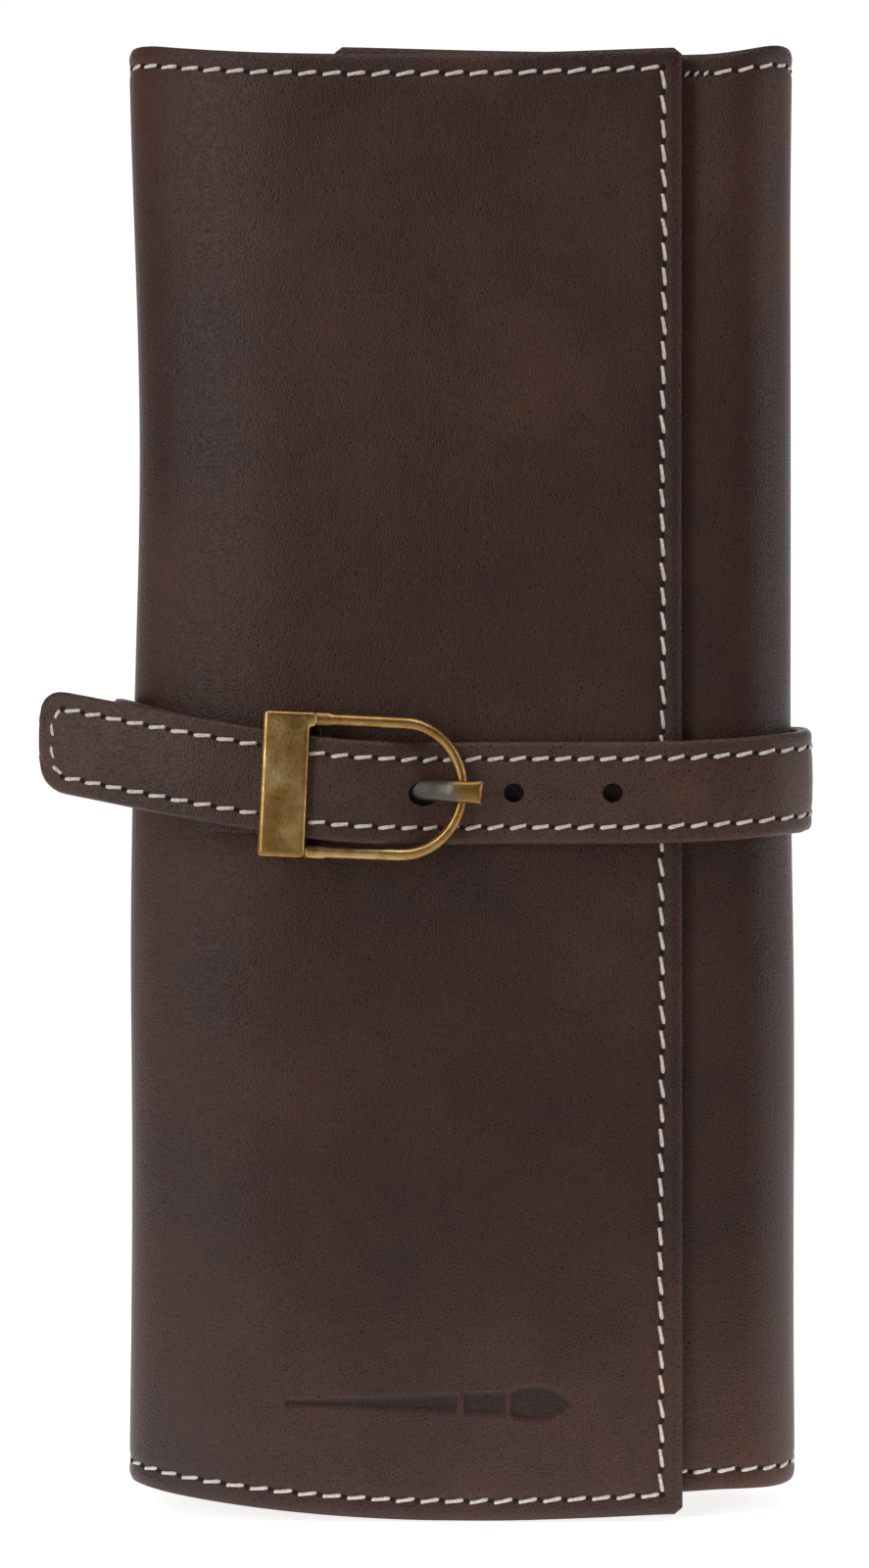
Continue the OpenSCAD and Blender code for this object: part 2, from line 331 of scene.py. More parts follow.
@dataclass(frozen=True)
class AntiqueBrass(Finish):
    """Die-cast zinc plated in antique brass and brushed: warm, a little darkened, with fine scratches along
    the plate and brighter rubbed places."""

    tarnish: str = "#93713b"
    metal: str = "#c0975b"
    rubbed: str = "#e0c48a"

    def shade(self, tree: bpy.types.NodeTree, shader: bpy.types.Node, place: bpy.types.NodeSocket) -> None:
        """Adds tarnish clouds, brushed scratches and rubbed places."""
        shader.inputs["Metallic"].default_value = 1.0
        cloud = add_node(
            tree, "ShaderNodeTexNoise", {"Scale": per_metre(5.0), "Detail": 4.0, "Roughness": 0.6},
            {"Vector": place},
        ).outputs["Fac"]
        colour = add_node(
            tree, "ShaderNodeValToRGB",
            {"stops": [(0.32, self.tarnish), (0.52, self.metal), (0.72, self.rubbed)]}, {"Fac": cloud},
        ).outputs["Color"]
        stretched = add_node(
            tree, "ShaderNodeMapping", {"Scale": (1.0, 1.0, 0.3)}, {"Vector": place}
        ).outputs["Vector"]
        scratch = add_node(
            tree, "ShaderNodeTexNoise", {"Scale": per_metre(0.22), "Detail": 3.0}, {"Vector": stretched}
        ).outputs["Fac"]
        tree.links.new(colour, shader.inputs["Base Color"])
        gloss = add_node(
            tree, "ShaderNodeMapRange",
            {"From Min": 0.3, "From Max": 0.7, "To Min": self.roughness - 0.08,
             "To Max": self.roughness + 0.1},
            {"Value": scratch},
        ).outputs["Result"]
        tree.links.new(gloss, shader.inputs["Roughness"])
        bump = add_node(
            tree, "ShaderNodeBump", {"Strength": 0.18, "Distance": 0.00008}, {"Height": scratch}
        ).outputs["Normal"]
        tree.links.new(bump, shader.inputs["Normal"])


@dataclass(frozen=True)
class WornProng(Finish):
    """Nickel-plated steel wire, dull grey, with brass plating left on its tip."""

    steel: str = "#6b6560"
    brass: str = "#a07c45"
    brass_from_mm: float = -1.6

    def shade(self, tree: bpy.types.NodeTree, shader: bpy.types.Node, place: bpy.types.NodeSocket) -> None:
        """Adds the change from steel to brass along the prong, with a ragged border."""
        shader.inputs["Metallic"].default_value = 1.0
        along = add_node(tree, "ShaderNodeSeparateXYZ", {}, {"Vector": place}).outputs["X"]
        ragged = add_node(
            tree, "ShaderNodeTexNoise", {"Scale": per_metre(0.8), "Detail": 4.0}, {"Vector": place}
        ).outputs["Fac"]
        edge = add_node(
            tree, "ShaderNodeMath", {"operation": "MULTIPLY_ADD", 1: 0.004}, {0: ragged, 2: along}
        ).outputs["Value"]
        start = (self.brass_from_mm + 2) * MM
        tip = add_node(
            tree, "ShaderNodeMapRange", {"From Min": start, "From Max": start + 0.0018}, {"Value": edge}
        ).outputs["Result"]
        colour = add_node(
            tree, "ShaderNodeValToRGB", {"stops": [(0.0, self.steel), (1.0, self.brass)]}, {"Fac": tip}
        ).outputs["Color"]
        tree.links.new(colour, shader.inputs["Base Color"])
        bump = add_node(
            tree, "ShaderNodeBump", {"Strength": 0.2, "Distance": 0.0001}, {"Height": ragged}
        ).outputs["Normal"]
        tree.links.new(bump, shader.inputs["Normal"])


@dataclass(frozen=True)
class PaintedPaper(Finish):
    """The studio's pale paper sweep, with a painted glow: it gives off light behind the case and fades out
    towards the camera.
    """

    colour: str = "#f7f6f4"
    glow: float = 0.8
    dark_y: float = -0.12
    bright_y: float = -0.04

    def shade(self, tree: bpy.types.NodeTree, shader: bpy.types.Node, place: bpy.types.NodeSocket) -> None:
        """Adds white, and painted glow: emission that brightens the floor behind the case and fades to none
        in front of it.
        """
        shader.inputs["Emission Color"].default_value = linear("#ffffff")
        depth = add_node(tree, "ShaderNodeSeparateXYZ", {}, {"Vector": place}).outputs["Y"]
        glow = add_node(
            tree, "ShaderNodeMapRange",
            {"interpolation_type": "SMOOTHSTEP", "From Min": self.dark_y, "From Max": self.bright_y,
             "To Min": 0.0, "To Max": self.glow},
            {"Value": depth},
        ).outputs["Result"]
        # Painted glow: the floor's own emission, strongest behind the case.
        tree.links.new(glow, shader.inputs["Emission Strength"])
        shader.inputs["Base Color"].default_value = linear(self.colour)


CASE_LEATHER = Leather("waxed_cowhide_case", Slot.CASE, 0.41)
STRAP_LEATHER = Leather(
    "waxed_cowhide_strap", Slot.STRAP, 0.41, dark="#3b2720", middle="#462e26", light="#50372b", cloud_mm=22.0
)
LINING = Twill("cotton_twill_lining", Slot.LINING, 0.85)
POCKET_CLOTH = Twill("cotton_twill_pocket", Slot.LINING, 0.85, warp_colour="#7a6350", weft_colour="#554234")
THREAD = WaxedThread("waxed_polyester_thread", Slot.THREAD, 0.62)
# Needle holes get a near-black: painted shade.
HOLE = NeedleHole("needle_hole_painted_shade", Slot.THREAD, 0.9)
BRASS = AntiqueBrass("antique_brass_plating", Slot.BRASS, 0.34)
# A darkened copy of the brass for the bar: painted shade where it sits behind the plate.
SHADED_BRASS = AntiqueBrass("antique_brass_painted_shade", Slot.BRASS, 0.45, "#2e2213", "#3d2d19", "#58431f")
PRONG_METAL = WornProng("nickel_steel_worn", Slot.STEEL, 0.42)
PAPER = PaintedPaper("studio_paper_painted_glow", Slot.LINING, 0.9)


# ---------------------------------------------------------------- places and lines


def bell(value: float, middle: float, spread: float) -> float:
    """A smooth bump of height 1 round a middle."""
    return math.exp(-(((value - middle) / spread) ** 2))


def eased(table: Sequence[tuple[float, float]], x: float, blur: float = 2.0) -> float:
    """Reads a table of (x, value) pairs, with its corners softened."""
    xs, values = zip(*table)
    return float(np.mean([np.interp(x + blur * k, xs, values) for k in (-2, -1, 0, 1, 2)]))


def box_mm(node: str) -> list[float]:
    """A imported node's box in mm: its three lowest coordinates, then its three highest."""
    low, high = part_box(node)
    return [v / MM for v in (*low, *high)]


def unit_steps(points: np.ndarray) -> np.ndarray:
    """The way along a row of points, as a unit vector at each."""
    steps = np.gradient(points, axis=0)
    return steps / np.linalg.norm(steps, axis=1)[:, None]


def tube_faces(first: int, rings: int, size: int) -> list[tuple[int, ...]]:
    """Faces of a closed tube, made of rings of points that follow each other.

    Args:
        first: Number of the first ring's first point.
        rings: How many rings there are.
        size: How many points each has.

    Returns:
        The faces round the tube, and one that closes each end.
    """
    last = first + (rings - 1) * size
    faces = [
        (a + k, a + (k + 1) % size, a + size + (k + 1) % size, a + size + k)
        for a in range(first, last, size) for k in range(size)
    ]
    return [*faces, tuple(range(first, first + size)), tuple(range(last + size - 1, last - 1, -1))]


def slab_faces(n: int, m: int, ends: Sequence[int]) -> list[tuple[int, ...]]:
    """Faces of a slab: an outer sheet of n rows of m points, then an inner one.

    Args:
        n: How many rows each sheet has.
        m: How many points each row has.
        ends: The rows that get a wall between the two sheets.

    Returns:
        The faces of both sheets, of the walls along both sides and of the end walls.
    """
    under = n * m
    faces = []
    for i in range(n - 1):
        for a in range(i * m, i * m + m - 1):
            faces.append((a, a + m, a + m + 1, a + 1))
            faces.append((a + under + 1, a + under + m + 1, a + under + m, a + under))
    faces += [(a, a + m, a + m + under, a + under) for i in range(n - 1) for a in (i * m, i * m + m - 1)]
    for j in range(m - 1):
        faces += [(a, a + 1, a + 1 + under, a + under) for a in (i * m + j for i in ends)]
    return faces


def skin_rings(mesh: bmesh.types.BMesh, rings: Sequence[list]) -> None:
    """Joins rings of points into a closed tube, in a mesh that is being made."""
    for a, b in zip(rings, rings[1:]):
        for k in range(len(a)):
            j = (k + 1) % len(a)
            mesh.faces.new((a[k], a[j], b[j], b[k]))
    mesh.faces.new(rings[0][::-1])
    mesh.faces.new(rings[-1])


@dataclass(frozen=True)
class Case:
    """Sizes of the closed case, read from the frame."""

    edge: float
    height: float
    thick: float
    inner: float
    flap_edge: float
    inner_edge: float
    back_y: float
    leather: float = 1.4
    lining: float = 0.8
    fold_r: float = 11.5
    soft_x: float = 26.0
    soft_h: float = 13.0
    tight: float = 10.5
    seam: float = 3.0
    strap_z: float = 108.5

    @classmethod
    def from_frame(cls) -> "Case":
        """Reads the case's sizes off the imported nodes."""
        back, flap = box_mm("back_leather"), box_mm("flap_leather")
        inner, strap = box_mm("inner_flap_leather"), box_mm("strap_back")
        back_y = back[4]
        return cls(
            edge=back[3], height=back[5], thick=back_y - flap[1], inner=back_y - inner[1], flap_edge=flap[3],
            inner_edge=inner[0], back_y=back_y, strap_z=(strap[2] + strap[5]) / 2,
        )

    def left_line(self) -> "Line":
        """The case's outer line from the middle of the back round the left fold to the flap's free edge."""
        corners = [(0, 0), (-self.edge, 0), (-self.edge, self.thick), (self.flap_edge, self.thick)]
        return rounded_line(corners, [(self.fold_r, self.soft_h), (self.soft_h, self.soft_x)], 1.0)

    def right_line(self) -> "Line":
        """The case's outer line from the middle of the back round the right fold to the inner flap's edge."""
        corners = [(0, 0), (self.edge, 0), (self.edge, self.inner), (self.inner_edge, self.inner)]
        return rounded_line(corners, [(self.tight, self.tight), (self.tight, self.tight)], -1.0)

    def world(self, x: float, h: float, z: float) -> Vector:
        """A point in the row frame, in metres."""
        return Vector((x * MM, (self.back_y - h) * MM, z * MM))

    def waist(self, x: float, z: float) -> float:
        """How far the strap pulls the folds in at a point, in mm along x."""
        share = max(0.0, (abs(x) - 28) / (self.edge - 28))
        if x < 0:
            return share * (1.8 * bell(z, 158, 40) + 0.5 * bell(z, 60, 38))
        return -share * 0.75 * bell(z, 165, 75)


@dataclass
class Line:
    """A line in plan with its outward normals and arc lengths."""

    points: np.ndarray
    side: float = 1.0
    normals: np.ndarray = field(init=False)
    lengths: np.ndarray = field(init=False)

    def __post_init__(self) -> None:
        """Works out the normals and lengths."""
        steps = unit_steps(self.points)
        self.normals = np.stack([-steps[:, 1], steps[:, 0]], axis=1) * self.side
        gaps = np.linalg.norm(np.diff(self.points, axis=0), axis=1)
        self.lengths = np.concatenate([[0.0], np.cumsum(gaps)])

    def at(self, s: float) -> tuple[np.ndarray, np.ndarray]:
        """The point and unit normal at arc length s."""
        point = np.array([np.interp(s, self.lengths, self.points[:, k]) for k in (0, 1)])
        normal = np.array([np.interp(s, self.lengths, self.normals[:, k]) for k in (0, 1)])
        return point, normal / np.linalg.norm(normal)

    def cut(self, start: float, end: float, step: float, extra: Sequence[float] = ()) -> np.ndarray:
        """Arc lengths from start to end about a step apart, with some extra ones."""
        count = max(2, round((end - start) / step) + 1)
        wanted = sorted([*np.linspace(start, end, count), *(s for s in extra if start < s < end)])
        kept = [start]
        for s in wanted:
            if s - kept[-1] > 0.12:
                kept.append(s)
        kept[-1] = end
        return np.array(kept)

    def where_x(self, x: float, after: float = 0.0) -> float:
        """The arc length past another one at which the line reaches x."""
        for i in range(1, len(self.points)):
            a, b = self.points[i - 1][0], self.points[i][0]
            if self.lengths[i] > after and min(a, b) <= x <= max(a, b) and a != b:
                return float(np.interp(x, sorted((a, b)), self.lengths[i - 1 : i + 1][:: 1 if a < b else -1]))
        return float(self.lengths[-1])


def rounded_line(
    corners: Sequence[tuple[float, float]], reaches: Sequence[tuple[float, float]], side: float
) -> Line:
    """A line through corners that are rounded off.

    Args:
        corners: Points in plan. All but the first and last are rounded.
        reaches: For each rounded corner, how far before and after it the bend begins and ends.
        side: 1 if the outside is to the left of the way along, and -1 if it is to the right.

    Returns:
        The line, with a point about every half millimetre.
    """
    points: list[np.ndarray] = [np.array(corners[0], float)]
    for i in range(1, len(corners) - 1):
        before, here, after = (np.array(c, float) for c in corners[i - 1 : i + 2])
        into = (here - before) / np.linalg.norm(here - before)
        out = (after - here) / np.linalg.norm(after - here)
        lead, tail = reaches[i - 1]
        centre = here - into * lead + out * tail
        for k in range(25):
            turn = k / 24 * math.pi / 2
            points.append(centre - out * tail * math.cos(turn) + into * lead * math.sin(turn))
    points.append(np.array(corners[-1], float))
    dense = []
    for a, b in zip(points, points[1:]):
        count = max(1, math.ceil(np.linalg.norm(b - a) / 0.5))
        dense += [a + (b - a) * k / count for k in range(count)]
    dense.append(points[-1])
    return Line(np.array(dense), side)


def smooth_line(points: Sequence[tuple], step: float = 0.5) -> np.ndarray:
    """Points on a Catmull-Rom curve through given ones.

    Args:
        points: The points, of any dimension.
        step: How far apart the new points are.

    Returns:
        The curve's points.
    """
    hand = np.array(points, float)
    ends = np.vstack([2 * hand[0] - hand[1], hand, 2 * hand[-1] - hand[-2]])
    made = []
    for i in range(1, len(ends) - 2):
        p0, p1, p2, p3 = ends[i - 1 : i + 3]
        count = max(2, math.ceil(np.linalg.norm(p2 - p1) / step))
        for k in range(count):
            t = k / count
            made.append(
                0.5 * (2 * p1 + (p2 - p0) * t + (2 * p0 - 5 * p1 + 4 * p2 - p3) * t**2
                       + (3 * p1 - p0 - 3 * p2 + p3) * t**3)
            )
    made.append(hand[-1])
    return np.array(made)


CASE = Case.from_frame()


# ---------------------------------------------------------------- placing pieces


@dataclass(frozen=True)
class Ride:
    """How a piece moves: with one body. A piece given a second body, and start and end points in plan, is not
    bent between them; it stays where it is made.
    """

    first: Body
    second: Optional[Body] = None
    start: tuple[float, float] = (0, 0)
    end: tuple[float, float] = (0, 0)

    def carry(self, piece: bpy.types.Object) -> None:
        """Attaches a piece to its body; a piece with a second body is only fixed where it stands."""
        if self.second is None:
            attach(piece, self.first.value)
            return
        tuple(CASE.world(*self.start, 0))
        tuple(CASE.world(*self.end, 0))
        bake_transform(piece)


def make_piece(
    name: str, verts: Sequence, faces: Sequence, finish: Finish, ride: Ride, nodes: Sequence[str] = (),
    smooth_deg: float = 45, bevel_mm: float = 0,
) -> bpy.types.Object:
    """Makes one piece from a mesh in metres, dresses it and sets how it moves.

    Args:
        name: The piece's name.
        verts: Its points, in metres in the row frame.
        faces: Its faces.
        finish: Its finish.
        ride: How it moves.
        nodes: The frame's nodes that it stands for.
        smooth_deg: Edges sharper than this stay sharp.
        bevel_mm: How far its sharp edges are rounded.

    Returns:
        The piece.
    """
    mesh = bpy.data.meshes.new(name)
    mesh.from_pydata([tuple(v) for v in verts], [], faces)
    return dress(name, mesh, finish, ride, nodes, smooth_deg, bevel_mm)


def dress(
    name: str, mesh: bpy.types.Mesh, finish: Finish, ride: Ride, nodes: Sequence[str] = (),
    smooth_deg: float = 45, bevel_mm: float = 0,
) -> bpy.types.Object:
    """Makes a piece of a mesh that is already made. The arguments are make_piece's."""
    tidy = bmesh.new()
    tidy.from_mesh(mesh)
    bmesh.ops.recalc_face_normals(tidy, faces=tidy.faces)
    for face in tidy.faces:
        face.smooth = True
    for edge in tidy.edges:
        edge.smooth = edge.calc_face_angle(0) < math.radians(smooth_deg)
    tidy.to_mesh(mesh)
    tidy.free()
    mesh.materials.append(finish.material())
    piece = bpy.data.objects.new(name, mesh)
    bpy.context.scene.collection.objects.link(piece)
    ride.carry(piece)
    if bevel_mm:
        bevel = piece.modifiers.new("round_edges", "BEVEL")
        bevel.width = bevel_mm * MM
        bevel.segments = 3
        bevel.limit_method = "ANGLE"
        bevel.angle_limit = math.radians(50)
        bevel.harden_normals = True
    if nodes:
        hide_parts(*nodes)
    LOG.info("%s: %d faces, finish %s", name, len(mesh.polygons), finish.name)
    return piece


# ---------------------------------------------------------------- stitches


@dataclass
class Seam:
    """Rows of thick slanted stitches, and the needle holes between them."""

    radius: float = 0.27
    slant: float = -0.25
    gap: float = 0.3
    sides: int = 8
    hole_long: float = 0.46
    hole_wide: float = 0.36
    verts: list = field(default_factory=list)
    faces: list = field(default_factory=list)
    hole_verts: list = field(default_factory=list)
    hole_faces: list = field(default_factory=list)
    luck: random.Random = field(default_factory=lambda: random.Random(11))

    def row(self, places: Sequence[tuple[np.ndarray, np.ndarray]]) -> None:
        """Adds a stitch between each two needle holes.

        Args:
            places: Each hole's point and outward normal, as (x, h, z).
        """
        for (a, na), (b, nb) in zip(places, places[1:]):
            self.stitch(a, b, (na + nb) / np.linalg.norm(na + nb))
        for i, (point, normal) in enumerate(places):
            other = places[i + 1][0] if i + 1 < len(places) else places[i - 1][0]
            along = other - point if i + 1 < len(places) else point - other
            self.hole(point, normal, along)

    def stitch(self, a: np.ndarray, b: np.ndarray, normal: np.ndarray) -> None:
        """Adds one stitch from hole a to hole b, twisted from two plies."""
        along = b - a
        length = np.linalg.norm(along)
        along = along / length
        across = np.cross(normal, along)
        lean = self.slant * self.luck.uniform(0.7, 1.3)
        first = len(self.verts)
        places = (0.0, 0.1, 0.25, 0.5, 0.75, 0.9, 1.0)
        for t in places:
            middle = a + along * (self.gap + (length - 2 * self.gap) * t) + across * lean * (2 * t - 1)
            lift = self.radius * (-0.9 + 1.45 * math.sin(math.pi * t) ** 0.5)
            middle = middle + normal * lift
            size = self.radius * (0.55 if t in (0.0, 1.0) else 1.0)
            for k in range(self.sides):
                turn = 2 * math.pi * k / self.sides
                ply = size * (1 + 0.14 * math.cos(2 * (turn - 4.5 * t)))
                point = middle + across * math.cos(turn) * ply + normal * math.sin(turn) * ply * 0.85
                self.verts.append(CASE.world(*point))
        self.faces += tube_faces(first, len(places), self.sides)

    def hole(self, point: np.ndarray, normal: np.ndarray, along: np.ndarray) -> None:
        """Adds one needle hole, a dimple between two stitches, dark with painted shade."""
        along = along / np.linalg.norm(along)
        across = np.cross(normal, along)
        first = len(self.hole_verts)
        for depth, size in ((0.1, 1.0), (-0.3, 0.8)):
            for k in range(self.sides):
                turn = 2 * math.pi * k / self.sides
                long, wide = math.cos(turn) * self.hole_long * size, math.sin(turn) * self.hole_wide * size
                self.hole_verts.append(CASE.world(*(point + along * long + across * wide + normal * depth)))
        self.hole_faces += tube_faces(first, 2, self.sides)

    def pieces(self, name: str, ride: Ride, nodes: Sequence[str] = ()) -> None:
        """Makes the thread and its needle holes as two pieces."""
        make_piece(name, self.verts, self.faces, THREAD, ride, nodes, smooth_deg=80)
        make_piece(name + "_holes", self.hole_verts, self.hole_faces, HOLE, ride, smooth_deg=30)


def in_space(point: np.ndarray, normal: np.ndarray, z: float) -> tuple[np.ndarray, np.ndarray]:
    """A point and normal in plan, as (x, h, z) at a height."""
    return np.array([point[0], point[1], z]), np.array([normal[0], normal[1], 0.0])


# ---------------------------------------------------------------- the case


@dataclass
class Panel:
    """One stretch of the tri-fold: its leather, its lining and its edge stitches, all given the same ride."""

    name: str
    line: Line
    start: float
    end: float
    ride: Ride
    leather_nodes: tuple[str, ...]
    lining_nodes: tuple[str, ...]
    thread_nodes: tuple[str, ...]
    low: Callable[[float], float]
    high: Callable[[float], float]
    open_end: bool = False
    pitch: float = 3.6
    fine_s: tuple[float, ...] = ()
    fine_z: tuple[float, float] = (0, 0)
    press: Optional[Callable[[float, float], float]] = None
    press_depth: float = 0.4
    swell: Optional[Callable[[float, float], float]] = None
    crowd: Optional[tuple[float, float]] = None
    corner: float = 1.2

    def z_range(self, s: float) -> tuple[float, float]:
        """Lowest and highest z of the panel at an arc length, less its clipped corners."""
        clip = max(0.0, self.corner - (self.end - s)) * 0.8 if self.open_end else 0.0
        return self.low(s) + clip, self.high(s) - clip

    def levels(self, s: float, inset: float) -> np.ndarray:
        """Heights of the sheet's points at an arc length, closer together near its sewn edges."""
        low, high = self.z_range(s)
        near = np.array([0, 0.3, 0.7, 1.2, 1.8, 2.3, 2.7, 3.0, 3.3, 3.7, 4.3, 5.2])
        foot, top = low + near[-1], high - near[-1]
        middle = list(np.linspace(foot, top, 64)[1:-1])
        if self.press:
            share = np.arange(self.fine_z[0], self.fine_z[1], 0.0014)
            fine = foot + (top - foot) * share
            middle = [z for z in middle if not fine[0] - 0.5 < z < fine[-1] + 0.5] + list(fine)
        levels = np.array([*(low + near), *sorted(middle), *(high - near[::-1])])
        return levels.clip(low + inset, high - inset)

    def surface(self, s: float, z: float, depth: float = 0.0) -> tuple[np.ndarray, np.ndarray]:
        """The panel's soft outer face.

        Args:
            s: Arc length along the line.
            z: Height.
            depth: How far under the outer face.

        Returns:
            The point in plan and the outward normal.
        """
        point, normal = self.line.at(s)
        low, high = self.z_range(s)
        edge = min(z - low, high - z, self.end - s if self.open_end else 99.0)
        x = point[0]
        near = bell(z, CASE.strap_z, 16)
        ripple = math.sin(x / 17 + 1.3 * math.sin(z / 31)) * math.sin(z / 23 + 0.7) * 0.16
        out = ripple * (1 - near) - 0.12 * near
        out -= 0.45 * (1 - min(1.0, max(0.0, edge) / 1.3)) ** 2 + 0.2 * bell(edge, CASE.seam, 0.8)
        if self.swell:
            out += self.swell(x, z)
        place = point + normal * (out - depth)
        place[0] += CASE.waist(x, z)
        return place, normal

    def sheet(
        self, name: str, outer: float, inner: float, finish: Finish, nodes: tuple[str, ...], inset: float
    ) -> None:
        """Makes one layer between two depths under the outer face. An end that the next stretch carries on
        from has no wall, so that the leather shows no joint there.

        Args:
            name: The layer's name.
            outer: Depth of its outer face.
            inner: Depth of its inner face.
            finish: Its finish.
            nodes: The frame's nodes it stands for.
            inset: How far its free edges stand back from the leather's.
        """
        end = self.end - (inset if self.open_end else 0)
        edge = tuple(self.end - d for d in (0.3, 0.7, 1.2, 1.8, 2.4, 3.0, 3.6, 4.4)) if self.open_end else ()
        stations = self.line.cut(self.start, end, 1.6, self.fine_s + edge)
        verts, marks = [], []
        for depth, is_outer in ((outer, True), (inner, False)):
            for s in stations:
                plain, _ = self.line.at(s)
                for z in self.levels(s, inset):
                    stamp = self.press(plain[0], z) if self.press and is_outer else 0.0
                    place, _ = self.surface(s, z, depth + stamp * self.press_depth)
                    verts.append(CASE.world(place[0], place[1], z))
                    marks.append(stamp)
        n, m = len(stations), len(verts) // (2 * len(stations))
        faces = slab_faces(n, m, (n - 1,) if self.open_end else ())
        bevel = min(0.4, (inner - outer) * 0.3)
        piece = make_piece(name, verts, faces, finish, self.ride, nodes, bevel_mm=bevel)
        # The press mark darkens the leather's colour in the stamp: painted shade.
        mark = piece.data.attributes.new("press", "FLOAT", "POINT")
        mark.data.foreach_set("value", np.array(marks, np.float32))

    def row_places(self, first: float, last: float, top: bool) -> list[float]:
        """Arc lengths of an edge row's needle holes. They crowd together where a machine ran off its line."""
        if not (top and self.crowd):
            return list(np.linspace(first, last, max(2, round((last - first) / self.pitch) + 1)))
        places = [first]
        while places[-1] < last - 1.8:
            x = self.line.at(places[-1])[0][0]
            crowded = self.crowd[0] < x < self.crowd[1]
            places.append(places[-1] + (1.45 if crowded else self.pitch))
        places[-1] = last
        return places

    def stitches(self) -> None:
        """Sews the panel's top and bottom edges, and its free edge where it has one to show."""
        seam = Seam()
        last = self.end - (CASE.seam if self.open_end else 0)
        for top in (False, True):
            holes = []
            for s in self.row_places(self.start, last, top):
                low, high = self.z_range(s)
                z = high - CASE.seam if top else low + CASE.seam
                place, normal = self.surface(s, z)
                holes.append(in_space(place, normal, z))
            seam.row(holes)
        if self.open_end:
            low, high = self.z_range(last)
            low, high = low + CASE.seam, high - CASE.seam
            holes = []
            for z in np.linspace(high, low, round((high - low) / self.pitch) + 1):
                place, normal = self.surface(last, z)
                place[0] += 0.3 - 0.6 * (high - z) / (high - low) + 0.12 * math.sin(z / 9)
                holes.append(in_space(place, normal, z))
            seam.row(holes)
        seam.pieces(self.name + "_thread", self.ride, self.thread_nodes)

    def build(self) -> None:
        """Makes all of the panel's pieces."""
        self.sheet(self.name + "_leather", 0, CASE.leather, CASE_LEATHER, self.leather_nodes, 0)
        back = CASE.leather + CASE.lining
        self.sheet(self.name + "_lining", CASE.leather, back, LINING, self.lining_nodes, 0.5)
        self.stitches()


@dataclass
class Stamp:
    """A plain paint brush, pressed into the flap near its foot."""

    x: float = -26.0
    z: float = 17.5
    length: float = 42.0
    fine: float = 0.3

    def depth(self, x: float, z: float) -> float:
        """How deep the stamp is at a point, from 0 to 1."""
        t = (x - self.x) / self.length
        if not 0 <= t <= 1:
            return 0.0
        if t < 0.6:
            half = 0.55 + 1.0 * (t / 0.6) ** 1.5
        elif t < 0.63:
            half = 0.0
        elif t < 0.77:
            half = 1.75
        elif t < 0.79:
            half = 0.0
        else:
            tip = (t - 0.79) / 0.21
            half = 2.5 * math.sqrt(max(0.0, 1 - tip**2.2)) * (0.75 + 0.5 * math.sin(math.pi * tip * 0.8))
        inside = half - abs(z - self.z)
        ends = min(t * self.length, (1 - t) * self.length) + 0.4
        return max(0.0, min(1.0, min(inside, ends) / 0.45))


# Heights of the flaps' edges at places across the case. Closing it has slid the flaps a little downwards.
FOLD_FOOT = 3.8
FLAP_FOOT = [
    (-50.5, 3.8), (-46, 3.3), (-40, 2.8), (-30, 1.8), (-19, 0.7), (-8, 0.1), (6, 0), (18, 0.4), (32, 1.1),
]
FLAP_TOP = [
    (-50.5, 220), (-46, 218.8), (-40, 217.6), (-30, 216.6), (-19, 216.4), (5, 216.5), (18, 216.9),
    (32, 217.4),
]
INNER_FOOT = [(-19, 3.2), (33, 3.6), (40, 4.3), (50.5, 3.8)]
INNER_TOP = [(-19, 218.1), (5, 217.5), (33, 217.1), (41, 217.2), (47, 218.9), (50.5, 220)]


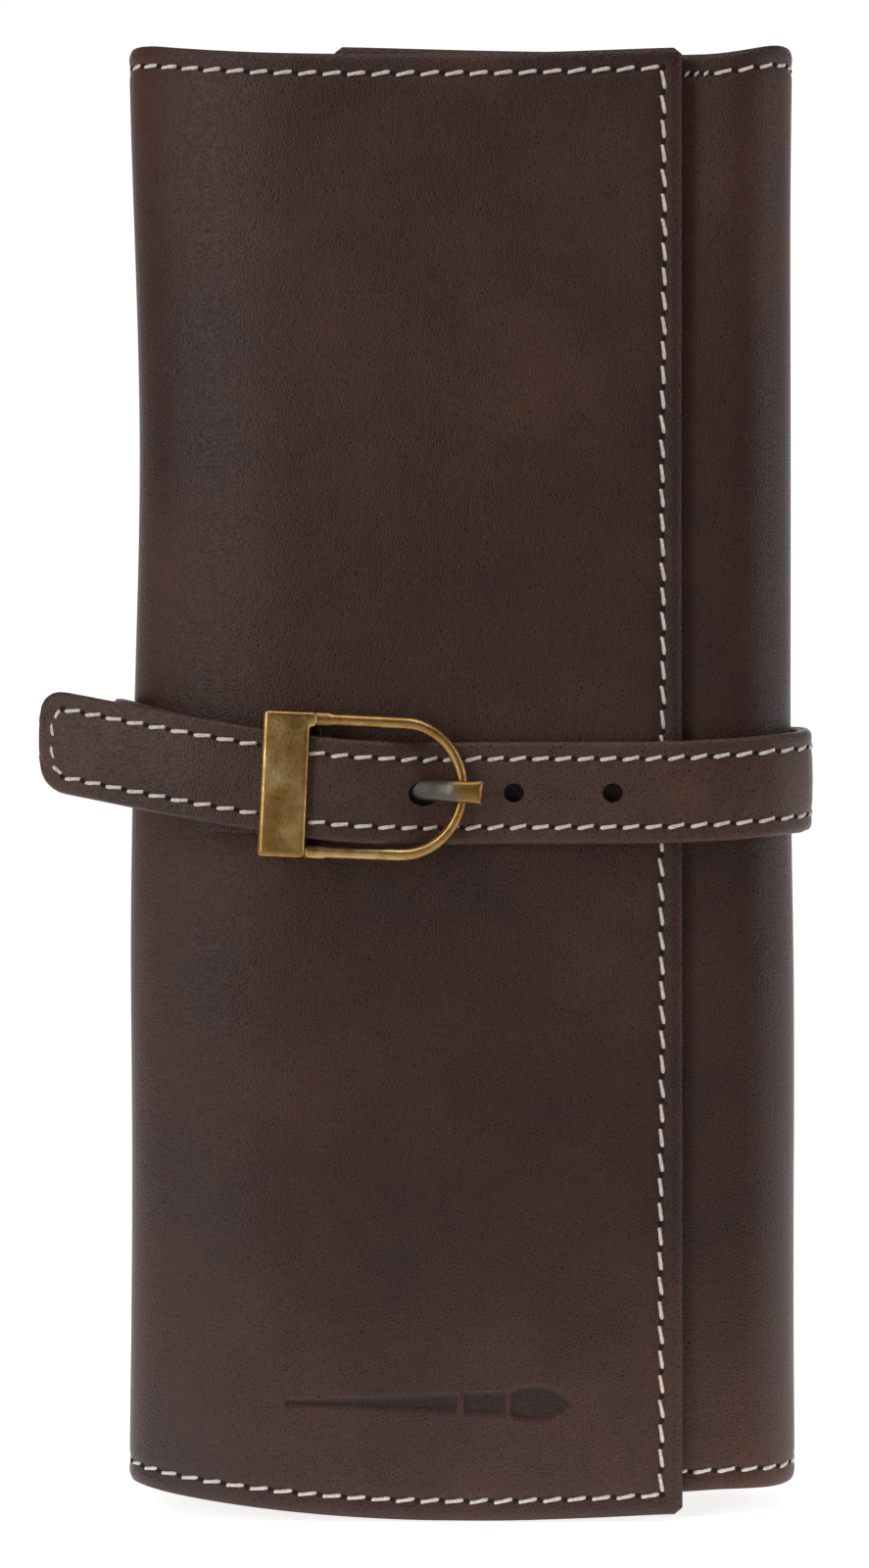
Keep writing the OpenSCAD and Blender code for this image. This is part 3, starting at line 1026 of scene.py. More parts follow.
class TriFold:
    """The case itself: back, two folds, the front flap and the inner flap."""

    def __init__(self) -> None:
        """Draws the two outer lines, which start at the middle of the back."""
        self.left, self.right = CASE.left_line(), CASE.right_line()

    def mid_fold(self, line: Line, depth: float) -> float:
        """Arc length at the middle of a line's fold."""
        middle = int(np.argmin(np.abs(line.points[:, 1] - depth / 2)))
        return float(line.lengths[middle])

    @staticmethod
    def along(line: Line, table: Sequence[tuple[float, float]]) -> Callable[[float], float]:
        """Turns a table of (x, z) pairs into an edge's height by arc length."""
        return lambda s: eased(table, line.at(s)[0][0])

    @staticmethod
    def dip(x: float, z: float) -> float:
        """The inner flap's hollow beside the front flap's edge, near its top."""
        return -1.1 * bell(x, CASE.flap_edge - 3, 9) * bell(z, CASE.height - 12, 30)

    def build(self) -> None:
        """Makes the four stretches of the case."""
        e, r, q, t, i = CASE.edge, CASE.fold_r, CASE.tight, CASE.thick, CASE.inner
        left_mid, right_mid = self.mid_fold(self.left, t), self.mid_fold(self.right, i)
        low, high = lambda s: FOLD_FOOT, lambda s: CASE.height
        stamp = Stamp()
        base = float(self.left.lengths[-1]) - CASE.flap_edge
        fine_s = tuple(np.arange(base + stamp.x - 0.5, base + stamp.x + stamp.length + 0.5, stamp.fine))
        fine_z = ((stamp.z - 9) / CASE.height, (stamp.z + 1) / CASE.height)
        Panel(
            "back_left", self.left, 0, left_mid, Ride(Body.BACK, Body.LEFT, (-e + r, 0), (-e, CASE.soft_h)),
            ("back_leather",), ("back_lining",), ("back_thread",), low, high,
        ).build()
        Panel(
            "front_flap", self.left, left_mid, self.left.lengths[-1],
            Ride(Body.LEFT, Body.FLAP, (-e, t - CASE.soft_h), (-e + CASE.soft_x, t)),
            ("left_fold_leather", "flap_leather"), ("left_fold_lining", "flap_lining"),
            ("left_fold_thread", "flap_thread"),
            self.along(self.left, FLAP_FOOT), self.along(self.left, FLAP_TOP),
            open_end=True, fine_s=fine_s, fine_z=fine_z, press=stamp.depth,
        ).build()
        Panel(
            "back_right", self.right, 0, right_mid, Ride(Body.BACK, Body.RIGHT, (e - q, 0), (e, q)),
            ("right_fold_leather",), ("right_fold_lining",), ("right_fold_thread",), low, high,
        ).build()
        Panel(
            "inner_flap", self.right, right_mid, self.right.lengths[-1],
            Ride(Body.RIGHT, Body.INNER, (e, i - q), (e - q, i)),
            ("inner_flap_leather",), ("inner_flap_lining",), ("inner_flap_thread",),
            self.along(self.right, INNER_FOOT), self.along(self.right, INNER_TOP),
            open_end=True, swell=self.dip, crowd=(CASE.flap_edge + 0.8, CASE.flap_edge + 6.0),
        ).build()


@dataclass
class Pockets:
    """The row of brush pockets sewn to the back's lining, with a bound mouth."""

    count: int = 6
    low: float = 5.0
    high: float = 135.0
    cloth: float = 0.9
    puff: float = 1.7
    binding: float = 6.0

    def width(self) -> float:
        """Width of the row."""
        box = box_mm("pocket_panel")
        return box[3] - box[0]

    def out(self, x: float, z: float) -> float:
        """How far the cloth stands off the lining."""
        share = (x / self.width() + 0.5) * self.count
        puff = abs(math.sin(math.pi * share)) ** 0.7
        foot = min(1.0, (z - self.low) / 12)
        return 0.1 + self.puff * puff * (0.35 + 0.65 * foot)

    def layer(self, name: str, low: float, high: float, lift: float, thick: float, finish: Finish) -> None:
        """Makes one layer of the row between two heights, under its node's name."""
        half = self.width() / 2
        floor = CASE.leather + CASE.lining
        xs = np.linspace(-half, half, self.count * 14 + 1)
        zs = np.linspace(low, high, max(5, round((high - low) / 3)))
        verts = [
            CASE.world(x, floor + lift + extra + self.out(x, z), z)
            for extra in (0, thick) for x in xs for z in zs
        ]
        faces = slab_faces(len(xs), len(zs), (0, len(xs) - 1))
        make_piece(name, verts, faces, finish, Ride(Body.BACK), (name,), bevel_mm=0.2)

    def build(self) -> None:
        """Makes the cloth, its binding and its rows of stitches."""
        self.layer("pocket_panel", self.low, self.high, 0, self.cloth, POCKET_CLOTH)
        mouth = self.high - self.binding
        self.layer("pocket_binding", mouth, self.high + 0.6, self.cloth, 0.7, CASE_LEATHER)
        seam = Seam(radius=0.25, slant=0.1)
        face = CASE.leather + CASE.lining + self.cloth + 0.15
        inward = np.array([0.0, 1.0])
        inset, start, tape = 1.2, self.low + 2, mouth + 1.3
        half = self.width() / 2 - inset
        for k in range(self.count + 1):
            x = (k / self.count - 0.5) * 2 * half
            levels = np.linspace(start, mouth, round((mouth - start) / 3.2) + 1)
            seam.row([in_space(np.array([x, face + self.out(x, z) - 0.1]), inward, z) for z in levels])
        for z, lift, count in ((start, -0.1, 27), (tape, 0.65, 79)):
            xs = np.linspace(-half, half, count)
            seam.row([in_space(np.array([x, face + lift + self.out(x, z)]), inward, z) for x in xs])
        seam.pieces("pocket_thread", Ride(Body.BACK), ("pocket_thread",))


# ---------------------------------------------------------------- the strap

OUTER_SECTION = [
    (-1.0, 0.0), (-1.0, 0.7), (-0.975, 1.0), (-0.93, 1.2), (-0.85, 1.3), (-0.73, 1.26), (-0.667, 1.14),
    (-0.6, 1.26), (-0.4, 1.4), (0.0, 1.46), (0.4, 1.4), (0.6, 1.26), (0.667, 1.14), (0.73, 1.26),
    (0.85, 1.3), (0.93, 1.2), (0.975, 1.0), (1.0, 0.7), (1.0, 0.0),
]
BACKING_SECTION = [
    (-0.985, 0.0), (-0.985, -0.6), (-0.96, -0.82), (-0.9, -0.9), (0.9, -0.9), (0.96, -0.82), (0.985, -0.6),
    (0.985, 0.0),
]


@dataclass
class Strap:
    """One stretch of strap: two leathers sewn together along both sides."""

    name: str
    line: Line
    start: float
    end: float
    ride: Ride
    height: Callable[[float], float]
    nodes: tuple[tuple[str, ...], tuple[str, ...], tuple[str, ...]]
    half: float = 7.5
    round_end: float = 0.0
    pitch: float = 3.3
    holes: tuple[tuple[float, float, float], ...] = ()
    sew_end: Optional[float] = None

    def half_at(self, s: float) -> float:
        """Half the strap's width at an arc length, less where its end is rounded."""
        left = self.end - s
        if not self.round_end or left >= self.round_end:
            return self.half
        r = self.round_end
        return self.half - r + math.sqrt(max(0.0, r * r - (r - left) ** 2))

    def layer(self, name: str, section: Sequence[tuple[float, float]], nodes: tuple[str, ...]) -> None:
        """Runs one leather's section along the line."""
        near_end = [self.end - self.round_end * (1 - math.cos(math.pi / 2 * k / 7)) for k in range(7)]
        stations = self.line.cut(self.start, self.end, 1.1, near_end if self.round_end else ())
        verts = []
        for s in stations:
            point, normal = self.line.at(s)
            half = self.half_at(s)
            soft = min(1.0, 0.55 + 0.45 * (self.end - s) / 1.2) if self.round_end else 1.0
            for across, up in section:
                x, h = point + normal * up * soft
                verts.append(CASE.world(x, h, self.height(s) + across * half))
        mesh = bpy.data.meshes.new(name)
        mesh.from_pydata([tuple(v) for v in verts], [], tube_faces(0, len(stations), len(section)))
        for s, long_r, wide_r in self.holes:
            mesh = self.punch(mesh, s, long_r, wide_r)
        dress(name, mesh, STRAP_LEATHER, self.ride, nodes, smooth_deg=50)

    def punch(self, mesh: bpy.types.Mesh, s: float, long_r: float, wide_r: float) -> bpy.types.Mesh:
        """Cuts one hole through a mesh.

        Args:
            mesh: The mesh, in the row frame.
            s: Where the hole is along the line.
            long_r: Its radius along the strap.
            wide_r: Its radius across it.

        Returns:
            The mesh with its hole.
        """
        point, normal = self.line.at(s)
        along = np.array([normal[1], -normal[0]])
        cutter = bmesh.new()
        rings = []
        for up in (-4.0, 4.0):
            ring = []
            for turn in np.linspace(0, 2 * math.pi, 28, endpoint=False):
                x, h = point + normal * up + along * math.cos(turn) * long_r
                ring.append(cutter.verts.new(CASE.world(x, h, self.height(s) + math.sin(turn) * wide_r)))
            rings.append(ring)
        skin_rings(cutter, rings)
        bmesh.ops.recalc_face_normals(cutter, faces=cutter.faces)
        cut_mesh = bpy.data.meshes.new("cutter")
        cutter.to_mesh(cut_mesh)
        cutter.free()
        body = bpy.data.objects.new("punched", mesh)
        tool = bpy.data.objects.new("punch", cut_mesh)
        for thing in (body, tool):
            bpy.context.scene.collection.objects.link(thing)
        tidy = bmesh.new()
        tidy.from_mesh(mesh)
        bmesh.ops.recalc_face_normals(tidy, faces=tidy.faces)
        tidy.to_mesh(mesh)
        tidy.free()
        boolean = body.modifiers.new("hole", "BOOLEAN")
        boolean.operation = "DIFFERENCE"
        boolean.solver = "EXACT"
        boolean.object = tool
        done = bpy.data.meshes.new_from_object(body.evaluated_get(bpy.context.evaluated_depsgraph_get()))
        bpy.data.objects.remove(body)
        bpy.data.objects.remove(tool)
        return done

    def stitches(self) -> None:
        """Sews both sides, and round the end where it is free."""
        seam = Seam()
        inset = self.half * 0.333
        last = self.sew_end if self.sew_end is not None else self.end
        if self.round_end:
            last = self.end - inset - 1.6
        count = max(1, round((last - self.start) / self.pitch))
        corners = []
        for side in (-1, 1):
            holes = []
            for k in range(count + 1):
                s = self.start + (last - self.start) * k / count
                point, normal = self.line.at(s)
                point = point + normal * 1.17
                holes.append(in_space(point, normal, self.height(s) + side * (self.half - inset)))
            seam.row(holes)
            corners.append(holes[-1])
        if self.round_end:
            s = self.end - inset
            point, normal = self.line.at(s)
            point = point + normal * 1.2
            across = [in_space(point, normal, self.height(s) + y) for y in (-3.2, 0.0, 3.2)]
            seam.row([corners[0], *across, corners[1]])
        seam.pieces(self.name + "_thread", self.ride, self.nodes[2])

    def build(self) -> None:
        """Makes the stretch's two leathers and its thread."""
        self.layer(self.name + "_leather", OUTER_SECTION, self.nodes[0])
        self.layer(self.name + "_backing", BACKING_SECTION, self.nodes[1])
        self.stitches()


@dataclass(frozen=True)
class Fittings:
    """Where the buckle stands, read off its joint, and its sizes."""

    bar_x: float
    bar_h: float
    bar_z: float
    tilt: float
    sleeve_w: float = 6.8
    bar_gap: float = 0.9
    length: float = 30.3
    height: float = 21.2
    wire: float = 2.0
    bow_r: float = 8.8
    plate: float = 1.3
    wall: float = 2.0
    above_bar: float = 4.45

    @classmethod
    def from_frame(cls) -> "Fittings":
        """Reads the bar's place and slant off the buckle's joint."""
        joint = next(j for j in frame["joints"] if j["name"] == "buckle_rock")
        x, y, z = (v / MM for v in joint["pos_m"])
        axis = joint["axis"]
        return cls(bar_x=x, bar_h=CASE.back_y - y, bar_z=z, tilt=math.atan2(axis[0], axis[2]) % math.pi)

    @property
    def sleeve_x(self) -> float:
        """Left edge of the sleeve."""
        return self.bar_x - self.bar_gap - self.sleeve_w

    @property
    def bow_x(self) -> float:
        """Middle of the bow's wire, at its furthest right."""
        return self.sleeve_x + self.length - self.wire / 2

    @property
    def wire_h(self) -> float:
        """Depth of the wire's middle."""
        return CASE.thick + 4.85

    def slanted(self, x: float, h: float, z: float) -> Vector:
        """A point drawn on the upright buckle, put on its slant. z is counted from the bar."""
        dx = x - self.bar_x
        cos, sin = math.cos(self.tilt), math.sin(self.tilt)
        return CASE.world(self.bar_x + dx * cos + z * sin, h, self.bar_z - dx * sin + z * cos)


FIT = Fittings.from_frame()


# Height of the strap's middle at places across the front. It hangs a little and its free end points up.
STRAP_MIDDLE = [
    (-64, 115.8), (-62, 115.4), (-54, 113.9), (-42, 111.5), (-30.5, 109.5), (-25, 108.6), (-19, 107.8),
    (-8, 107.2), (5, 107.4), (28, 107.4), (38, 107.8), (45, 108.4), (50.5, 109.2),
]


class Belt:
    """The whole strap: round the back, the short end that holds the buckle and the long end."""

    def __init__(self) -> None:
        """Draws the strap's two lines in plan and its height along them."""
        e, t = CASE.edge, CASE.thick
        off = 1.0
        tail_h = FIT.bar_h + 1.95 + 0.1 + 0.9
        case_line = CASE.left_line()
        fold = np.clip((-case_line.points[:, 0] - 30) / 18, 0, 1)
        points = case_line.points + case_line.normals * (off + 0.5 * fold)[:, None]
        points[:, 0] += [CASE.waist(x, CASE.strap_z) for x in points[:, 0]]
        points[:, 1] = np.where(points[:, 1] > t, points[:, 1] + 0.1, points[:, 1])
        front = (points[:, 1] > t / 2) & (points[:, 0] > FIT.bar_x - 14)
        self.left = Line(points[~front], 1.0)
        hand = [
            (0, -off), (e - 16, -off), (e - 7.5, -0.2), (e - 1.4, 4.6), (e + 0.8, 12.0), (e + 0.9, 18.5),
            (e - 0.6, 23.2), (e - 4.8, 27.2), (e - 11.5, t + 0.7), (CASE.flap_edge - 2, t + 1.25),
            (14, t + 1.3),
            (4, t + 1.5), (FIT.bow_x - 4, t + 2.2), (FIT.bow_x - 8.5, t + 3.7), (FIT.bow_x - 15, tail_h),
            (FIT.sleeve_x, tail_h), (FIT.sleeve_x - 9, tail_h - 0.3), (FIT.sleeve_x - 18, tail_h - 2.0),
            (FIT.sleeve_x - 26, tail_h - 4.6), (self.tail_x(), tail_h - 7.2),
        ]
        self.right = Line(smooth_line(hand), -1.0)

    @staticmethod
    def tail_x() -> float:
        """Where the strap's free end is."""
        return box_mm("strap_tip")[0] + 0.4

    def front_z(self, x: float) -> float:
        """Height of the strap's middle along the front. It hangs a little and its free end points up."""
        return eased(STRAP_MIDDLE, x) + CASE.strap_z - 108.5

    def right_z(self, s: float) -> float:
        """Height of the long end's middle at an arc length."""
        point, _ = self.right.at(s)
        if point[1] > 22.5:
            return self.front_z(point[0])
        return eased([(0, CASE.strap_z + 1.6), (12, CASE.strap_z + 1.5), (22, CASE.strap_z + 0.6)], point[1])

    def left_z(self, s: float) -> float:
        """Height of the short end's middle at an arc length."""
        point, _ = self.left.at(s)
        if point[1] > CASE.thick / 2:
            x = min(-24.0, point[0])
            return self.front_z(x) + eased([(-CASE.edge, 0.8), (-30, -0.6)], x)
        share = min(1.0, s / float(self.left.lengths[-1]) * 2.2)
        return CASE.strap_z + 1.6 + 3.0 * share

    def build(self) -> None:
        """Makes the strap's stretches and the turned end round the bar."""
        e, t, r = CASE.edge, CASE.thick, CASE.fold_r
        q = CASE.tight
        left_mid = float(self.left.lengths[int(np.argmin(np.abs(self.left.points[:, 1] - t / 2)))])
        Strap(
            "strap_back_left", self.left, 0, left_mid,
            Ride(Body.BACK, Body.LEFT, (-e + r, 0), (-e, CASE.soft_h)),
            self.left_z, (("strap_back",), ("strap_back_backing",), ("strap_back_thread",)),
        ).build()
        Strap(
            "buckle_strap", self.left, left_mid, self.left.lengths[-1],
            Ride(Body.LEFT, Body.FLAP, (-e, t - CASE.soft_h), (-e + CASE.soft_x, t)), self.left_z,
            (("buckle_strap_side", "buckle_strap"), (), ("buckle_strap_thread",)),
            sew_end=float(self.left.lengths[-1]) - 1.5,
        ).build()
        line = self.right
        half_way = int(np.argmin(np.abs(line.points[:400, 1] - 12.5)))
        right_mid = float(line.lengths[half_way])
        turn = line.where_x(e - 14, right_mid + 12)
        sleeve = line.where_x(FIT.sleeve_x - 0.2, turn)
        punched = tuple((line.where_x(x, turn), 1.5, 1.4) for x in (FIT.bow_x + 7.5, FIT.bow_x + 22.0))
        used = ((line.where_x(FIT.bow_x - 6.3, turn), 2.3, 1.8),)
        Strap(
            "strap_back_right", line, 0, right_mid,
            Ride(Body.BACK, Body.RIGHT, (e - q, 0), (e, q)), self.right_z,
            (("strap_side",), ("strap_side_backing",), ()),
        ).build()
        Strap(
            "strap_front", line, right_mid, sleeve, Ride(Body.RIGHT, Body.RUN, (e + 1.0, 15.0), (e - 9, t)),
            self.right_z, (("strap_front",), ("strap_front_backing",), ("strap_front_thread",)),
            holes=punched + used,
        ).build()
        Strap(
            "strap_tip", line, sleeve, float(line.lengths[-1]),
            Ride(Body.RUN, Body.END, (FIT.sleeve_x - 0.2, t), (FIT.sleeve_x - 9, t)), self.right_z,
            (("strap_tip",), ("strap_tip_backing",), ("strap_tip_thread",)), round_end=4.2,
        ).build()
        self.turned_end()
        self.anchor()

    def turned_end(self) -> None:
        """Makes the buckle strap's end: two lugs that turn round the bar, with the prong between them."""
        skin, ring = 1.1, 0.87 + 0.55
        low, high = FIT.bar_h - ring, FIT.bar_h + ring
        hand = [(FIT.bar_x - 15, low), (FIT.bar_x - 8, low), (FIT.bar_x, low)]
        hand += [
            (FIT.bar_x + ring * math.sin(math.pi * k / 6), FIT.bar_h - ring * math.cos(math.pi * k / 6))
            for k in range(1, 6)
        ]
        hand += [
            (FIT.bar_x, high), (FIT.bar_x - 7, high), (FIT.bar_x - 12, high - 0.5),
            (FIT.bar_x - 17, low + 1.4),
        ]
        line = Line(smooth_line(hand), 1.0)
        verts, faces = [], []
        stations = line.cut(0, float(line.lengths[-1]), 0.7)
        for low_z, high_z in ((-7.4, -2.2), (2.2, 7.4)):
            first = len(verts)
            for s in stations:
                point, normal = line.at(s)
                for up, z in ((-skin / 2, low_z), (-skin / 2, high_z), (skin / 2, high_z), (skin / 2, low_z)):
                    x, h = point + normal * up
                    verts.append(FIT.slanted(x, h, z))
            faces += tube_faces(first, len(stations), 4)
        make_piece("buckle_strap_turn", verts, faces, STRAP_LEATHER, Ride(Body.FLAP), bevel_mm=0.3)

    def anchor(self) -> None:
        """Sews the strap to the back with a boxed cross of stitches."""
        seam = Seam()
        outward = np.array([0.0, -1.0])
        h = -0.9 - 1.28

        def places(x0: float, y0: float, x1: float, y1: float) -> list:
            """Needle holes from one point of the box to another."""
            count = max(1, round(math.hypot(x1 - x0, y1 - y0) / 3.0))
            return [
                in_space(
                    np.array([x0 + (x1 - x0) * k / count, h]), outward,
                    CASE.strap_z + 1.6 + y0 + (y1 - y0) * k / count,
                )
                for k in range(count + 1)
            ]

        half_w, half_h = 11.0, 4.4
        for side in (-1, 1):
            seam.row(places(side * half_w, -half_h, side * half_w, half_h))
            seam.row(places(-half_w, -half_h * side, half_w, half_h * side))
        seam.pieces("strap_anchor_thread", Ride(Body.BACK), ("strap_anchor_thread",))


# ---------------------------------------------------------------- the buckle


class Buckle:
    """The cast frame with its flat sleeve, the bar and the prong."""

    voxel: float = 0.22

    def box(self, mesh: bmesh.types.BMesh, lows: tuple, highs: tuple, rounded: float = 0.0) -> None:
        """Adds a block between two corners, as (x, h, z) with z from the bar, with its edges rounded."""
        corners = [
            mesh.verts.new((x, h, z)) for x in (lows[0], highs[0]) for h in (lows[1], highs[1])
            for z in (lows[2], highs[2])
        ]
        quads = ((0, 1, 3, 2), (4, 6, 7, 5), (0, 4, 5, 1), (2, 3, 7, 6), (0, 2, 6, 4), (1, 5, 7, 3))
        faces = [mesh.faces.new([corners[k] for k in quad]) for quad in quads]
        if rounded:
            edges = list({edge for face in faces for edge in face.edges})
            bmesh.ops.bevel(mesh, geom=edges, offset=rounded, segments=4, profile=0.5, affect="EDGES")

    def tube(
        self, mesh: bmesh.types.BMesh, points: np.ndarray, wide: Callable[[float], tuple[float, float]]
    ) -> None:
        """Sweeps an oval along points in the buckle's plane, given as (x, h, z)."""
        rings = []
        for i, (point, step) in enumerate(zip(points, unit_steps(points))):
            forward = np.array([0.0, 1.0, 0.0])
            across = np.cross(step, forward)
            in_plane, depth = wide(i / (len(points) - 1))
            ring = []
            for turn in np.linspace(0, 2 * math.pi, 20, endpoint=False):
                offset = across * math.cos(turn) * in_plane + forward * math.sin(turn) * depth
                ring.append(mesh.verts.new(point + offset))
            rings.append(ring)
        skin_rings(mesh, rings)

    def cast(self, mesh: bmesh.types.BMesh, name: str, smooth: int) -> bpy.types.Mesh:
        """Melts overlapping solids into one skin with small fillets, as casting and tumbling do."""
        bmesh.ops.recalc_face_normals(mesh, faces=mesh.faces)
        data = bpy.data.meshes.new(name)
        mesh.to_mesh(data)
        mesh.free()
        body = bpy.data.objects.new(name + "_rough", data)
        bpy.context.scene.collection.objects.link(body)
        remesh = body.modifiers.new("melt", "REMESH")
        remesh.mode = "VOXEL"
        remesh.voxel_size = self.voxel
        soften = body.modifiers.new("tumble", "SMOOTH")
        soften.factor = 0.5
        soften.iterations = smooth
        done = bpy.data.meshes.new_from_object(body.evaluated_get(bpy.context.evaluated_depsgraph_get()))
        bpy.data.objects.remove(body)
        for vert in done.vertices:
            vert.co = FIT.slanted(vert.co.x, vert.co.y, vert.co.z)
        return done

    def frame_piece(self) -> None:
        """Makes the cast frame."""
        f = FIT
        mesh = bmesh.new()
        half = f.height / 2
        right = f.sleeve_x + f.sleeve_w
        plate_h = f.bar_h + f.above_bar
        self.box(mesh, (f.sleeve_x, plate_h, -half), (right, plate_h + f.plate + 0.3, half), 0.55)
        self.box(mesh, (right - 1.3, plate_h, half - 2.1), (right + 1.0, plate_h + f.plate + 0.2, half), 0.5)
        for side in (-1, 1):
            lo, hi = sorted((side * (half - f.wall), side * half))
            self.box(mesh, (f.sleeve_x, f.bar_h - 0.95, lo), (right, plate_h + 0.5, hi))
            self.box(mesh, (f.sleeve_x, f.bar_h - 0.95, lo), (f.bar_x + 1.9, f.wire_h + 0.6, hi))
        reach = half - f.wire / 2
        hand = [(right - 1.2, f.wire_h, reach)]
        hand += [(right + k * (f.bow_x - f.bow_r - right) / 6, f.wire_h, reach) for k in range(1, 6)]
        for k in range(13):
            turn = math.pi / 2 * k / 12
            x = f.bow_x - f.bow_r + f.bow_r * math.sin(turn)
            hand.append((x, f.wire_h, reach * math.cos(turn)))
        upper = np.array(hand)
        points = np.vstack([upper, (upper * [1, 1, -1])[::-1][1:]])
        self.tube(mesh, points, lambda t: (0.98 - 0.16 * math.sin(math.pi * t) ** 2, 0.98))
        skin = self.cast(mesh, "buckle_frame", 5)
        dress("buckle_frame", skin, BRASS, Ride(Body.BUCKLE), ("buckle_frame",), 60)

    def bar_piece(self) -> None:
        """Makes the bar, a plain pin with riveted ends, in brass darkened with painted shade."""
        rings = [(-10.3, 1.15), (-9.9, 1.25), (-9.6, 0.8), (9.6, 0.8), (9.9, 1.25), (10.3, 1.15)]
        verts = []
        for z, radius in rings:
            for turn in np.linspace(0, 2 * math.pi, 24, endpoint=False):
                x, h = FIT.bar_x + radius * math.cos(turn), FIT.bar_h + radius * math.sin(turn)
                verts.append(FIT.slanted(x, h, z))
        faces = tube_faces(0, len(rings), 24)
        make_piece("buckle_bar", verts, faces, SHADED_BRASS, Ride(Body.BUCKLE), ("buckle_bar",), bevel_mm=0.1)

    def prong_piece(self) -> None:
        """Makes the prong: an eye round the bar, a half-round shank and a notched tip."""
        f = FIT
        top = f.wire_h + f.wire / 2
        hand = [
            (f.bar_x, f.bar_h + 0.9), (f.bar_x + 5, f.bar_h + 0.6), (f.bow_x - 11.5, f.bar_h + 0.5),
            (f.bow_x - 8.0, f.bar_h + 0.7), (f.bow_x - 5.0, f.bar_h + 2.3), (f.bow_x - 2.6, top + 0.2),
            (f.bow_x - 0.8, top + 0.85), (f.bow_x + 3.1, top + 0.8),
        ]
        points = smooth_line(hand)
        mesh = bmesh.new()
        rings = []
        for i, (point, step) in enumerate(zip(points, unit_steps(points))):
            t = i / (len(points) - 1)
            up = np.array([-step[1], step[0]])
            near_tip = max(0.0, (t - 0.93) / 0.07)
            half = 1.5 + 0.1 * t + 0.25 * near_tip
            ring = []
            for turn in np.linspace(0, 2 * math.pi, 24, endpoint=False):
                z = math.copysign(abs(math.cos(turn)) ** 0.8, math.cos(turn)) * half
                rise = math.sin(turn) * (0.95 if math.sin(turn) > 0 else 0.75)
                notch = -1.1 * near_tip * (1 - (abs(z) / half) ** 1.5)
                x, h = point + up * rise + step * notch
                ring.append(mesh.verts.new((x, h, z)))
            rings.append(ring)
        skin_rings(mesh, rings)
        eye = []
        for radius in (1.85, 0.85):
            for z in (-1.55, 1.55):
                eye.append([
                    mesh.verts.new((f.bar_x + radius * math.cos(turn), f.bar_h + radius * math.sin(turn), z))
                    for turn in np.linspace(0, 2 * math.pi, 32, endpoint=False)
                ])
        for k in range(32):
            j = (k + 1) % 32
            mesh.faces.new((eye[0][k], eye[0][j], eye[1][j], eye[1][k]))
            mesh.faces.new((eye[3][k], eye[3][j], eye[2][j], eye[2][k]))
            mesh.faces.new((eye[0][j], eye[0][k], eye[2][k], eye[2][j]))
            mesh.faces.new((eye[1][k], eye[1][j], eye[3][j], eye[3][k]))
        mesh_data = self.cast(mesh, "buckle_prong", 2)
        dress("buckle_prong", mesh_data, PRONG_METAL, Ride(Body.PRONG), ("buckle_prong",), 60)

    def build(self) -> None:
        """Makes the buckle's three pieces."""
        self.frame_piece()
        self.bar_piece()
        self.prong_piece()


# ---------------------------------------------------------------- the studio


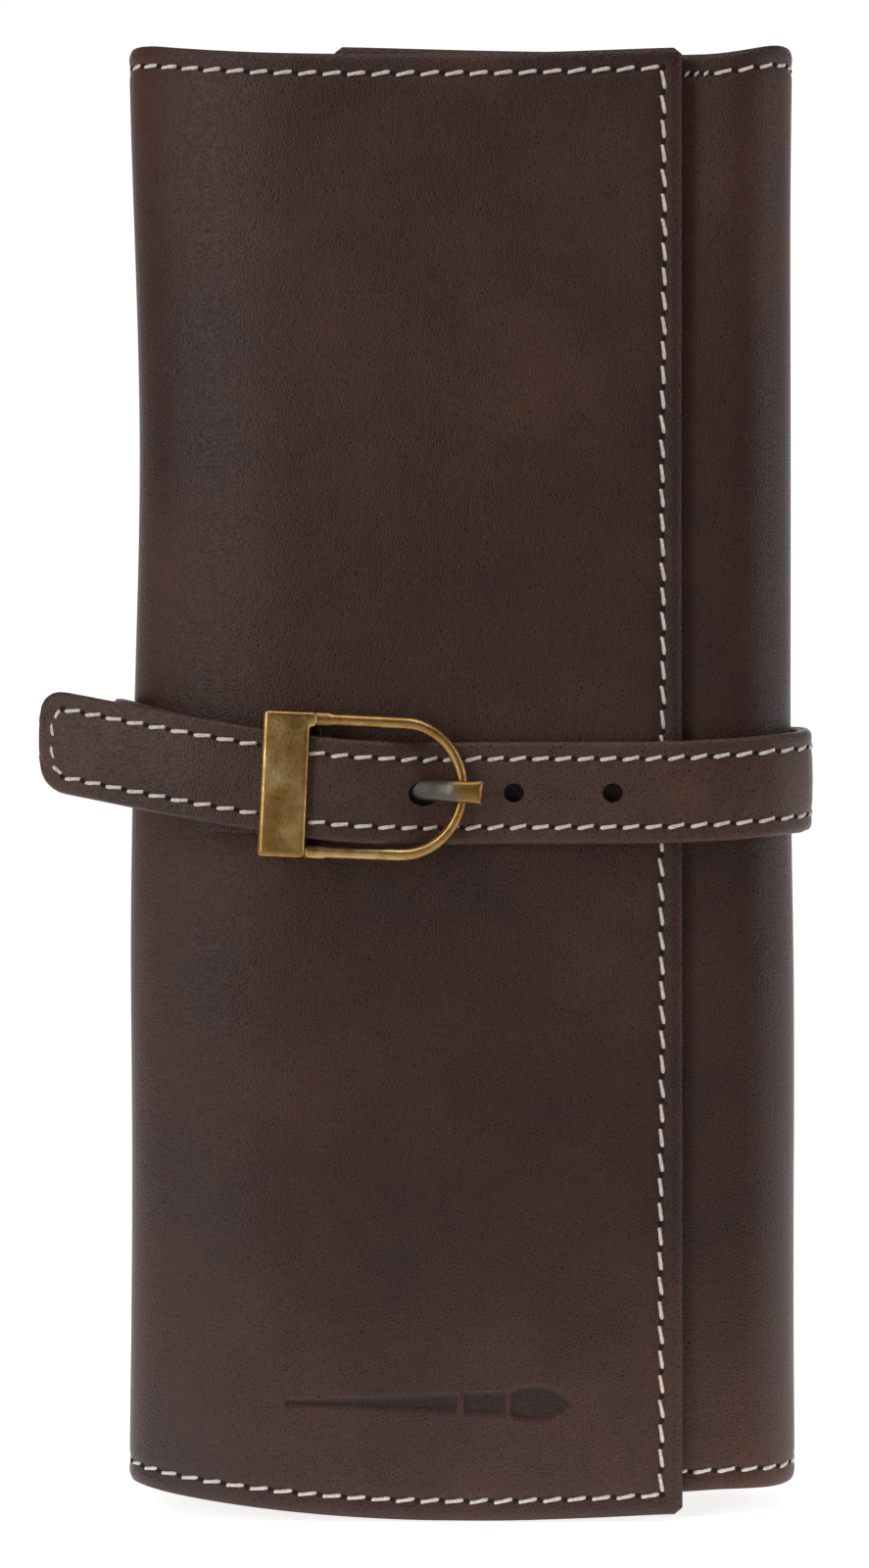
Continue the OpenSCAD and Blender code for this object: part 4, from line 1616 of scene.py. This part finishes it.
@dataclass
class Studio:
    """A pale paper floor, soft light and the camera. Lengths from floor_reach on are in metres."""

    distance: float = 450.0
    camera_x: float = -4.1
    camera_z: float = 108.7
    view_height: float = 238.4
    sensor: float = 36.0
    dim: float = 0.1
    bright: float = 1.05
    floor_reach: float = 6.0
    floor_z: float = -0.0002

    def camera(self) -> None:
        """Sets up the camera, level with the middle of the case."""
        data = bpy.data.cameras.new("camera")
        data.sensor_width = self.sensor
        data.lens = self.sensor * self.distance / self.view_height
        data.clip_start, data.clip_end = 0.01, 20
        camera = bpy.data.objects.new("camera", data)
        camera.location = CASE.world(self.camera_x, CASE.thick / 2 + self.distance, self.camera_z)
        camera.rotation_euler = (math.pi / 2, 0, 0)
        bpy.context.scene.collection.objects.link(camera)
        bpy.context.scene.camera = camera

    @staticmethod
    def lamp(name: str, spot: tuple[float, float, float], size: tuple[float, float], watts: float) -> None:
        """Adds one softbox aimed at the middle of the case.

        Args:
            name: Its name.
            spot: Where it is, in metres.
            size: Its width and height, in metres.
            watts: Its power.
        """
        data = bpy.data.lights.new(name, "AREA")
        data.shape = "RECTANGLE"
        data.size, data.size_y = size
        data.energy = watts
        lamp = bpy.data.objects.new(name, data)
        lamp.location = spot
        aim = Vector((0, 0, CASE.height * MM / 2)) - Vector(spot)
        lamp.rotation_euler = aim.to_track_quat("-Z", "Y").to_euler()
        bpy.context.scene.collection.objects.link(lamp)

    def build(self) -> None:
        """Sets up the floor, the light round the studio, the lamps and the camera."""
        self.camera()
        mesh = bpy.data.meshes.new("floor")
        r, z = self.floor_reach, self.floor_z
        mesh.from_pydata([(-r, -r, z), (r, -r, z), (r, r, z), (-r, r, z)], [], [(0, 1, 2, 3)])
        mesh.materials.append(PAPER.material())
        floor = bpy.data.objects.new("floor", mesh)
        bpy.context.scene.collection.objects.link(floor)
        world = bpy.data.worlds.new("studio")
        world.use_nodes = True
        tree = world.node_tree
        way = add_node(tree, "ShaderNodeTexCoord", {}, {}).outputs["Generated"]
        behind = add_node(tree, "ShaderNodeSeparateXYZ", {}, {"Vector": way}).outputs["Y"]
        glow = add_node(
            tree, "ShaderNodeMapRange",
            {"From Min": 0.5, "From Max": 0.9, "To Min": self.dim, "To Max": self.bright}, {"Value": behind},
        ).outputs["Result"]
        tree.nodes["Background"].inputs["Color"].default_value = linear("#ffffff")
        tree.links.new(glow, tree.nodes["Background"].inputs["Strength"])
        bpy.context.scene.world = world
        bpy.context.scene.view_settings.view_transform = "Standard"
        self.lamp("key", (-0.62, -0.72, 0.3), (0.28, 1.2), 4.4)
        self.lamp("fill", (0.9, -0.1, 0.25), (0.3, 0.9), 1.9)
        self.lamp("top", (0.05, -0.25, 0.98), (0.9, 0.4), 2.6)


def main() -> None:
    """Builds the whole case in order."""
    logging.basicConfig(level=logging.INFO, format="%(message)s")
    Studio().build()
    TriFold().build()
    Pockets().build()
    Belt().build()
    Buckle().build()


if __name__ == "__main__":
    main()
